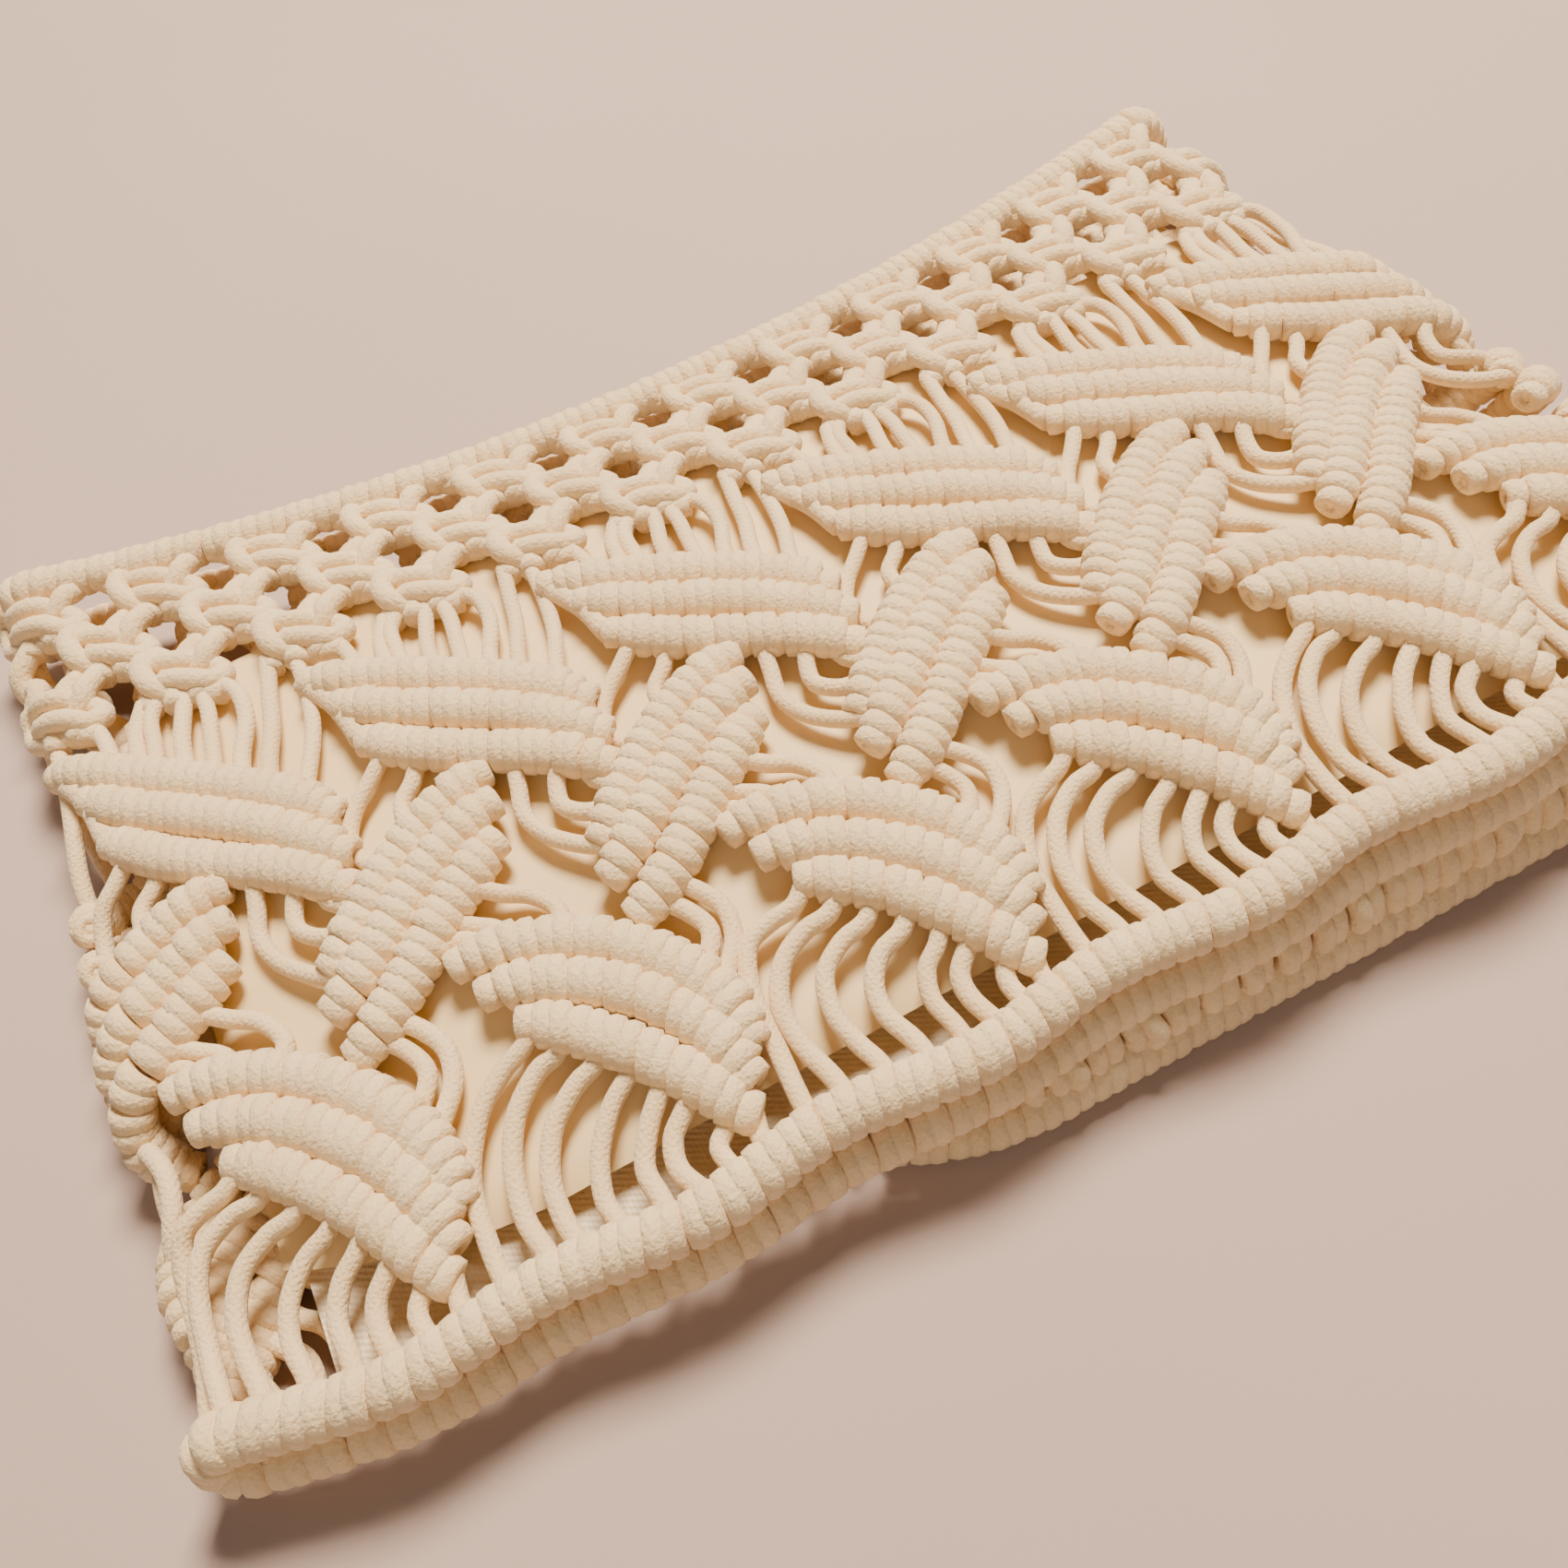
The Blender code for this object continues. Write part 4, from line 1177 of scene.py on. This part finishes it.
class NodeSheet:
    """A material's node tree, with short ways to add and join its nodes."""

    def __init__(self, name: str) -> None:
        """Start a material with an empty tree and a shader.

        Args:
            name: The material's name.
        """
        self.material = bpy.data.materials.new(name)
        self.material.use_nodes = True
        self.tree = self.material.node_tree
        self.shader = self.tree.nodes["Principled BSDF"]

    def add(self, kind: str, **settings: object) -> bpy.types.Node:
        """Add a node and set its own settings.

        Args:
            kind: The node's type.
            settings: Its settings by name.

        Returns:
            The new node.
        """
        node = self.tree.nodes.new(kind)
        for name, value in settings.items():
            setattr(node, name, value)
        return node

    def join(self, source: bpy.types.NodeSocket, target: bpy.types.NodeSocket) -> None:
        """Join an output to an input."""
        self.tree.links.new(source, target)

    def math(self, kind: str, *values: object) -> bpy.types.NodeSocket:
        """A Math node on sockets and numbers.

        Args:
            kind: The operation.
            values: Its inputs, each a number or a socket.

        Returns:
            The node's output.
        """
        node = self.add("ShaderNodeMath", operation=kind)
        for i, value in enumerate(values):
            if isinstance(value, bpy.types.NodeSocket):
                self.join(value, node.inputs[i])
            else:
                node.inputs[i].default_value = value
        return node.outputs[0]

    def noise(self, where: bpy.types.NodeSocket, scale: float, detail: float = 3.0) -> bpy.types.NodeSocket:
        """Soft noise at a scale, from 0 to 1.

        Args:
            where: The place that it is read at.
            scale: How fine it is.
            detail: How many finer layers it has.

        Returns:
            The noise's output.
        """
        node = self.add("ShaderNodeTexNoise")
        self.join(where, node.inputs["Vector"])
        node.inputs["Scale"].default_value = scale
        node.inputs["Detail"].default_value = detail
        return node.outputs["Fac"]

    def stretched(self, where: bpy.types.NodeSocket, scale: Point) -> bpy.types.NodeSocket:
        """A place stretched along each axis by a Mapping node.

        Args:
            where: The place.
            scale: How far along each axis.

        Returns:
            The stretched place.
        """
        node = self.add("ShaderNodeMapping")
        self.join(where, node.inputs["Vector"])
        node.inputs["Scale"].default_value = scale
        return node.outputs["Vector"]

    def blend(self, share: bpy.types.NodeSocket, first: Point, last: Point) -> bpy.types.NodeSocket:
        """A colour between two, by a share.

        Args:
            share: 0 for the first colour, 1 for the last.
            first: The first colour.
            last: The last colour.

        Returns:
            The colour's output.
        """
        node = self.add("ShaderNodeValToRGB")
        self.join(share, node.inputs["Fac"])
        node.color_ramp.elements[0].color = (*first, 1.0)
        node.color_ramp.elements[1].color = (*last, 1.0)
        return node.outputs["Color"]

    def relief(self, height: bpy.types.NodeSocket, strength: float, distance: float) -> None:
        """Give the shader relief from a height.

        Args:
            height: The height's output.
            strength: How strong the relief is, 0 to 1.
            distance: How deep a height of 1 is, in metres.
        """
        node = self.add("ShaderNodeBump")
        node.inputs["Strength"].default_value = strength
        node.inputs["Distance"].default_value = distance
        self.join(height, node.inputs["Height"])
        self.join(node.outputs["Normal"], self.shader.inputs["Normal"])

    def surface(self, roughness: float, sheen: float) -> None:
        """Set how rough the surface is, and how much its fibres catch the light."""
        self.shader.inputs["Roughness"].default_value = roughness
        self.shader.inputs["Sheen Weight"].default_value = sheen


@dataclass(frozen=True)
class CottonFinish:
    """Soft twisted cotton cord, cream, a little uneven from cord to cord."""

    light: Point = (0.95, 0.71, 0.405)
    dark: Point = (0.73, 0.51, 0.27)
    roughness: float = 0.92
    plies: int = 7
    lay: float = 1.0
    fibre_stretch: Point = (9.0, 30.0, 1.0)
    fuzz_scale: float = 1800.0
    patch_scale: float = 70.0
    tone_share: float = 0.30
    patch_share: float = 0.45
    fibre_share: float = 0.35
    fuzz_share: float = 0.60
    base_share: float = -0.08
    plait_height: float = 0.14
    fibre_height: float = 0.4
    fuzz_height: float = 1.1
    relief_strength: float = 0.75
    relief_depth: float = 0.4 * MM
    sheen: float = 0.25
    sheen_roughness: float = 0.5
    softness: float = 0.12
    soft_reach: Point = (0.9 * MM, 0.6 * MM, 0.4 * MM)

    def build(self) -> bpy.types.Material:
        """Make the cord's material.

        Returns:
            The material.
        """
        sheet = NodeSheet("cotton_cord_fibres")
        flat = sheet.add("ShaderNodeUVMap", uv_map="UVMap").outputs["UV"]
        solid = sheet.add("ShaderNodeTexCoord").outputs["Object"]
        parts = sheet.add("ShaderNodeSeparateXYZ")
        sheet.join(flat, parts.inputs[0])
        along = sheet.math("MULTIPLY", parts.outputs["X"], self.lay * self.plies)
        round_it = sheet.math("MULTIPLY", parts.outputs["Y"], float(self.plies))
        braid = []
        for way in ("ADD", "SUBTRACT"):
            phase = sheet.math("MULTIPLY", sheet.math(way, along, round_it), 2 * math.pi)
            braid.append(sheet.math("SINE", phase))
        plait = sheet.math("MAXIMUM", *braid)
        fibres = sheet.noise(sheet.stretched(flat, self.fibre_stretch), scale=1.0, detail=4.0)
        fuzz = sheet.noise(solid, self.fuzz_scale, detail=6.0)
        patches = sheet.noise(solid, self.patch_scale, detail=2.0)
        tone = sheet.add("ShaderNodeAttribute", attribute_name="tone").outputs["Fac"]
        share = sheet.math("MULTIPLY_ADD", tone, self.tone_share, self.base_share)
        share = sheet.math("MULTIPLY_ADD", patches, self.patch_share, share)
        share = sheet.math("MULTIPLY_ADD", fibres, self.fibre_share, share)
        share = sheet.math("MULTIPLY_ADD", fuzz, self.fuzz_share, share)
        sheet.join(sheet.blend(share, self.dark, self.light), sheet.shader.inputs["Base Color"])
        height = sheet.math("MULTIPLY", fibres, self.fibre_height)
        height = sheet.math("MULTIPLY_ADD", plait, self.plait_height, height)
        height = sheet.math("MULTIPLY_ADD", fuzz, self.fuzz_height, height)
        sheet.relief(height, self.relief_strength, self.relief_depth)
        sheet.surface(self.roughness, self.sheen)
        sheet.shader.inputs["Sheen Roughness"].default_value = self.sheen_roughness
        sheet.shader.inputs["Subsurface Weight"].default_value = self.softness
        sheet.shader.inputs["Subsurface Radius"].default_value = self.soft_reach
        sheet.shader.inputs["Subsurface Scale"].default_value = 1.0
        return sheet.material


@dataclass(frozen=True)
class SheetFinish:
    """The smooth beige sheet of the pouch, matte, with a very fine even grain."""

    light: Point = (0.87, 0.67, 0.36)
    dark: Point = (0.79, 0.58, 0.28)
    roughness: float = 0.62
    cloud_scale: float = 28.0
    grain_scale: float = 3200.0
    ripple_scale: float = 60.0
    grain_share: float = 0.25
    base_share: float = -0.1
    grain_height: float = 0.08
    relief_strength: float = 0.35
    relief_depth: float = 0.6 * MM
    sheen: float = 0.1

    def build(self) -> bpy.types.Material:
        """Make the sheet's material.

        Returns:
            The material.
        """
        sheet = NodeSheet("pouch_sheet_matte")
        solid = sheet.add("ShaderNodeTexCoord").outputs["Object"]
        clouds = sheet.noise(solid, self.cloud_scale, detail=2.0)
        grain = sheet.noise(solid, self.grain_scale, detail=2.0)
        share = sheet.math("MULTIPLY_ADD", grain, self.grain_share, clouds)
        share = sheet.math("ADD", share, self.base_share)
        sheet.join(sheet.blend(share, self.dark, self.light), sheet.shader.inputs["Base Color"])
        ripple = sheet.noise(solid, self.ripple_scale, detail=1.0)
        height = sheet.math("MULTIPLY_ADD", grain, self.grain_height, ripple)
        sheet.relief(height, self.relief_strength, self.relief_depth)
        sheet.surface(self.roughness, self.sheen)
        return sheet.material


@dataclass(frozen=True)
class SatinFinish:
    """Cream cloth in a twill weave with fine diagonal lines and faint yellow stains."""

    light: Point = (0.86, 0.72, 0.50)
    dark: Point = (0.70, 0.56, 0.36)
    stain: Point = (0.80, 0.62, 0.30)
    roughness: float = 0.5
    ridge_scale: float = 1875.0 * math.pi
    ridge_slope: float = 0.55
    thread_scale: float = 9000.0
    thread_share: float = 0.35
    weave_share: float = 0.16
    fluff_scale: float = 900.0
    fluff_share: float = 0.3
    stain_scale: float = 55.0
    stain_start: float = 0.58
    stain_strength: float = 2.2
    relief_strength: float = 0.4
    relief_depth: float = 0.12 * MM
    sheen: float = 0.3

    def build(self) -> bpy.types.Material:
        """Make the cloth's material.

        Returns:
            The material.
        """
        sheet = NodeSheet("satin_twill")
        solid = sheet.add("ShaderNodeTexCoord").outputs["Object"]
        parts = sheet.add("ShaderNodeSeparateXYZ")
        sheet.join(solid, parts.inputs[0])
        slope = sheet.math("MULTIPLY_ADD", parts.outputs["X"], self.ridge_slope, parts.outputs["Y"])
        ridge = sheet.math("SINE", sheet.math("MULTIPLY", slope, self.ridge_scale))
        thread = sheet.math("SINE", sheet.math("MULTIPLY", parts.outputs["X"], self.thread_scale))
        weave = sheet.math("MULTIPLY_ADD", thread, self.thread_share, ridge)
        share = sheet.math("MULTIPLY_ADD", weave, self.weave_share, 0.5)
        fluff = sheet.noise(solid, self.fluff_scale)
        share = sheet.math("MULTIPLY_ADD", fluff, self.fluff_share, share)
        spots = sheet.noise(solid, self.stain_scale, detail=2.0)
        spots = sheet.math("SUBTRACT", spots, self.stain_start)
        spots = sheet.math("MULTIPLY", sheet.math("MAXIMUM", spots, 0.0), self.stain_strength)
        # Inputs 6 and 7 and output 2 of a Mix node are its colours.
        mixed = sheet.add("ShaderNodeMix", data_type="RGBA")
        sheet.join(sheet.math("MINIMUM", spots, 1.0), mixed.inputs[0])
        sheet.join(sheet.blend(share, self.dark, self.light), mixed.inputs[6])
        mixed.inputs[7].default_value = (*self.stain, 1.0)
        sheet.join(mixed.outputs[2], sheet.shader.inputs["Base Color"])
        sheet.relief(weave, self.relief_strength, self.relief_depth)
        sheet.surface(self.roughness, self.sheen)
        return sheet.material


@dataclass(frozen=True)
class FloorFinish:
    """The pale floor under the bag."""

    light: Point = (0.52, 0.39, 0.33)
    dark: Point = (0.48, 0.355, 0.295)
    roughness: float = 0.85
    cloud_scale: float = 6.0
    grain_scale: float = 900.0
    grain_share: float = 0.15
    relief_strength: float = 0.1
    relief_depth: float = 0.1 * MM

    def build(self) -> bpy.types.Material:
        """Make the floor's material.

        Returns:
            The material.
        """
        sheet = NodeSheet("pale_floor")
        solid = sheet.add("ShaderNodeTexCoord").outputs["Object"]
        clouds = sheet.noise(solid, self.cloud_scale)
        grain = sheet.noise(solid, self.grain_scale, detail=2.0)
        share = sheet.math("MULTIPLY_ADD", grain, self.grain_share, clouds)
        sheet.join(sheet.blend(share, self.dark, self.light), sheet.shader.inputs["Base Color"])
        sheet.relief(grain, self.relief_strength, self.relief_depth)
        sheet.surface(self.roughness, 0.0)
        return sheet.material


@dataclass
class Pouch:
    """The smooth pouch behind the front: one sheet folded at its lower edge."""

    form: BagForm
    side_margin: float = 0.019
    level_low: float = -0.82
    level_high: float = 1.92
    seat: float = 1.2 * MM
    wall: float = 0.7 * MM
    floor: float = 9.5 * MM
    tuck: float = 0.012
    edge_lift: float = 0.4 * MM
    edge_drop: float = 2.2 * MM
    drop_place: float = -0.03
    drop_run: float = 0.03
    corner_rise: float = 0.011
    corner_start: float = -0.080
    ripple: float = 0.25 * MM
    ripple_sink: float = 0.1 * MM
    ripple_across: Point = (95.0, 1.3)
    ripple_along: Point = (70.0, 0.4)
    pinch_share: float = 0.07
    pinch: float = 0.48
    wall_gap: float = 1.4
    lip_power: float = 1.5
    columns: int = 60
    rows: int = 80

    @property
    def half_width(self) -> float:
        """Half the width of the sheet."""
        return self.form.width / 2 - self.side_margin

    def edge_y(self, x: float) -> float:
        """The Y of the pouch's lower edge, which curves up at its left end.

        Args:
            x: Place along X.

        Returns:
            The edge's Y there.
        """
        drop = self.edge_drop / (1 + math.exp((self.drop_place - x) / self.drop_run))
        near = max(0.0, (self.corner_start - x) / (self.corner_start + self.half_width))
        lift = self.edge_lift + self.corner_rise * near * near
        return self.form.level_y(self.level_low) - drop + lift

    def height(self, x: float, y: float) -> float:
        """Height of the pouch's front, close under the net and softly uneven.

        Args:
            x: Place along X.
            y: Place along Y.

        Returns:
            The height of the sheet's middle there.
        """
        (across, first), (along, last) = self.ripple_across, self.ripple_along
        ripple = self.ripple * math.sin(x * across + first) * math.sin(y * along + last)
        ripple -= self.ripple_sink
        return self.form.inner_front(x, y) - self.seat - self.wall / 2 + min(0.0, ripple)

    def point(self, a: float, b: float) -> Vector:
        """A point of the folded sheet.

        Args:
            a: Share across the sheet, 0 to 1.
            b: Share along it, from the front's mouth round the fold to the back's mouth.

        Returns:
            The point in the bag's frame.
        """
        x = mix(-self.half_width, self.half_width, a)
        high = self.form.level_y(self.level_high)
        low = self.edge_y(x)
        near_side = max(0.0, (abs(x) / self.half_width - 1 + self.pinch_share) / self.pinch_share)
        if b < 0.5:
            y = mix(high, low, b / 0.5)
            z = self.height(x, y)
        else:
            y = mix(low, high, (b - 0.5) / 0.5)
            lip = max(0.0, 1 - (y - low) / self.tuck)
            z = mix(self.floor, self.height(x, low) - self.wall_gap * self.wall, lip**self.lip_power)
        other = self.floor if b < 0.5 else self.height(x, y)
        return Vector((x, y, mix(z, other, self.pinch * near_side * near_side)))

    def build(self, material: bpy.types.Material) -> bpy.types.Object:
        """Args:
            material: The piece's finish.

        Returns:
            The finished piece.
        """
        bpy.ops.object.select_all(action="DESELECT")
        bpy.ops.mesh.primitive_grid_add(x_subdivisions=self.columns, y_subdivisions=self.rows, size=1.0)
        piece = bpy.context.object
        piece.name = piece.data.name = "pouch_sheet"
        for vert in piece.data.vertices:
            vert.co = self.point(vert.co.x + 0.5, vert.co.y + 0.5)
        finish_sheet(piece, self.wall, material)
        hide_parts("lining_sheath")
        run = self.form.level_y(self.level_high) - self.form.level_y(self.level_low)
        return dressed(piece)


def finish_sheet(piece: bpy.types.Object, wall: float, material: bpy.types.Material) -> None:
    """Give a modelled sheet its wall, smooth shading and finish.

    Args:
        piece: The flat or folded sheet.
        wall: Its thickness.
        material: Its finish.
    """
    solid = piece.modifiers.new("wall", "SOLIDIFY")
    solid.thickness = wall
    solid.offset = 0.0
    bpy.context.view_layer.objects.active = piece
    bpy.ops.object.modifier_apply(modifier=solid.name)
    bpy.ops.object.mode_set(mode="EDIT")
    bpy.ops.mesh.select_all(action="SELECT")
    bpy.ops.mesh.normals_make_consistent(inside=False)
    bpy.ops.object.mode_set(mode="OBJECT")
    bpy.ops.object.shade_smooth_by_angle(angle=math.radians(50))
    piece.data.materials.append(material)


@dataclass
class BackingCloth:
    """The woven cloth on the inside of the back."""

    form: BagForm
    side_margin: float = 0.021
    level_low: float = -0.98
    level_high: float = 1.80
    height: float = 8.3 * MM
    wall: float = 0.5 * MM
    wave: float = 0.18 * MM
    wave_across: Point = (140.0, 40.0)
    wave_along: Point = (-30.0, 110.0)
    columns: int = 70
    rows: int = 40

    def build(self, material: bpy.types.Material) -> bpy.types.Object:
        """Args:
            material: The piece's finish.

        Returns:
            The finished piece.
        """
        half = self.form.width / 2 - self.side_margin
        low = self.form.level_y(self.level_low)
        high = self.form.level_y(self.level_high)
        bpy.ops.object.select_all(action="DESELECT")
        bpy.ops.mesh.primitive_grid_add(x_subdivisions=self.columns, y_subdivisions=self.rows, size=1.0)
        piece = bpy.context.object
        piece.name = piece.data.name = "backing_cloth_weave"
        for vert in piece.data.vertices:
            x = vert.co.x * 2 * half
            y = mix(low, high, vert.co.y + 0.5)
            across = math.sin(x * self.wave_across[0] + y * self.wave_across[1])
            along = math.cos(x * self.wave_along[0] + y * self.wave_along[1])
            vert.co = (x, y, self.height + self.wave * across * along)
        finish_sheet(piece, self.wall, material)
        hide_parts("backing_cloth")
        return dressed(piece)


@dataclass
class Studio:
    """The floor, the lights and the camera."""

    image_side: int = 1700
    focal_pixels: float = 1568.7
    eye: Point = (-0.0671, -0.1687, 0.2058)
    right: Point = (0.8814, -0.4531, -0.1335)
    down: Point = (-0.4361, -0.6722, -0.5982)
    sensor: float = 36.0
    near_clip: float = 0.005
    floor_side: float = 6.0
    middle: Point = (0.0, 0.0, 0.0)
    sky_colour: Point = (1.0, 0.92, 0.84)
    sky_strength: float = 0.08

    def floor(self) -> None:
        """Lay the pale floor."""
        bpy.ops.object.select_all(action="DESELECT")
        bpy.ops.mesh.primitive_plane_add(size=self.floor_side, location=self.middle)
        ground = bpy.context.object
        ground.name = "floor"
        ground.data.materials.append(FloorFinish().build())

    def lamp(self, name: str, place: Point, size: float, power: float, colour: Point) -> None:
        """Hang a soft square light that shines at the middle of the bag.

        Args:
            name: The light's name.
            place: Where it hangs.
            size: Length of its side.
            power: Its power in watts.
            colour: Its colour.
        """
        light = bpy.data.lights.new(name, "AREA")
        light.size = size
        light.energy = power
        light.color = colour
        lamp = bpy.data.objects.new(name, light)
        lamp.location = place
        lamp.rotation_euler = (Vector(self.middle) - Vector(place)).to_track_quat("-Z", "Y").to_euler()
        bpy.context.scene.collection.objects.link(lamp)

    def lights(self) -> None:
        """Hang the lights and set the soft light of the room."""
        self.lamp(
            "window", place=(0.32, 0.50, 1.12), size=0.42, power=45.0, colour=(1.0, 0.87, 0.72)
        )
        self.lamp(
            "room_fill", place=(-0.5, -0.95, 0.8), size=0.8, power=4.5, colour=(1.0, 0.88, 0.76)
        )
        world = bpy.data.worlds.new("room")
        world.use_nodes = True
        sky = world.node_tree.nodes["Background"]
        sky.inputs["Color"].default_value = (*self.sky_colour, 1.0)
        sky.inputs["Strength"].default_value = self.sky_strength
        bpy.context.scene.world = world

    def camera(self) -> None:
        """Set the camera at the photo's place and angle."""
        data = bpy.data.cameras.new("photo_view")
        data.sensor_width = self.sensor
        data.lens = self.sensor * self.focal_pixels / self.image_side
        data.clip_start = self.near_clip
        eye = bpy.data.objects.new("photo_view", data)
        right = Vector(self.right).normalized()
        up = -Vector(self.down)
        up = (up - right * up.dot(right)).normalized()
        back = right.cross(up)
        turned = Matrix((right, up, back)).transposed()
        eye.matrix_world = Matrix.Translation(Vector(self.eye)) @ turned.to_4x4()
        bpy.context.scene.collection.objects.link(eye)
        bpy.context.scene.camera = eye

    def build(self) -> None:
        """Set up the whole studio."""
        self.camera()
        self.floor()
        self.lights()


def main() -> None:
    """Build every piece of the bag and the studio round it."""
    logging.basicConfig(level=logging.INFO, format="%(message)s")
    form = BagForm()
    dice = random.Random(7)
    ribs = RibMaker(Wrap(), dice)
    cotton = CottonFinish().build()
    Studio().build()
    for side in Side:
        for leaf in (UPPER_LEAF, MIDDLE_LEAF, LOWER_LEAF):
            LeafRow(form, ribs, leaf).build(side, cotton)
        KnotBand(form, dice).build(side, cotton)
        NetCords(form, dice).build(side, cotton)
        edges = EdgeRibs(form, ribs)
        edges.mouth(side, cotton)
        edges.bottom(side, cotton)
    gusset = Gusset(form, ribs)
    gusset.rib(cotton)
    gusset.cords(cotton)
    BackingCloth(form).build(SatinFinish().build())
    Pouch(form).build(SheetFinish().build())


if __name__ == "__main__":
    main()
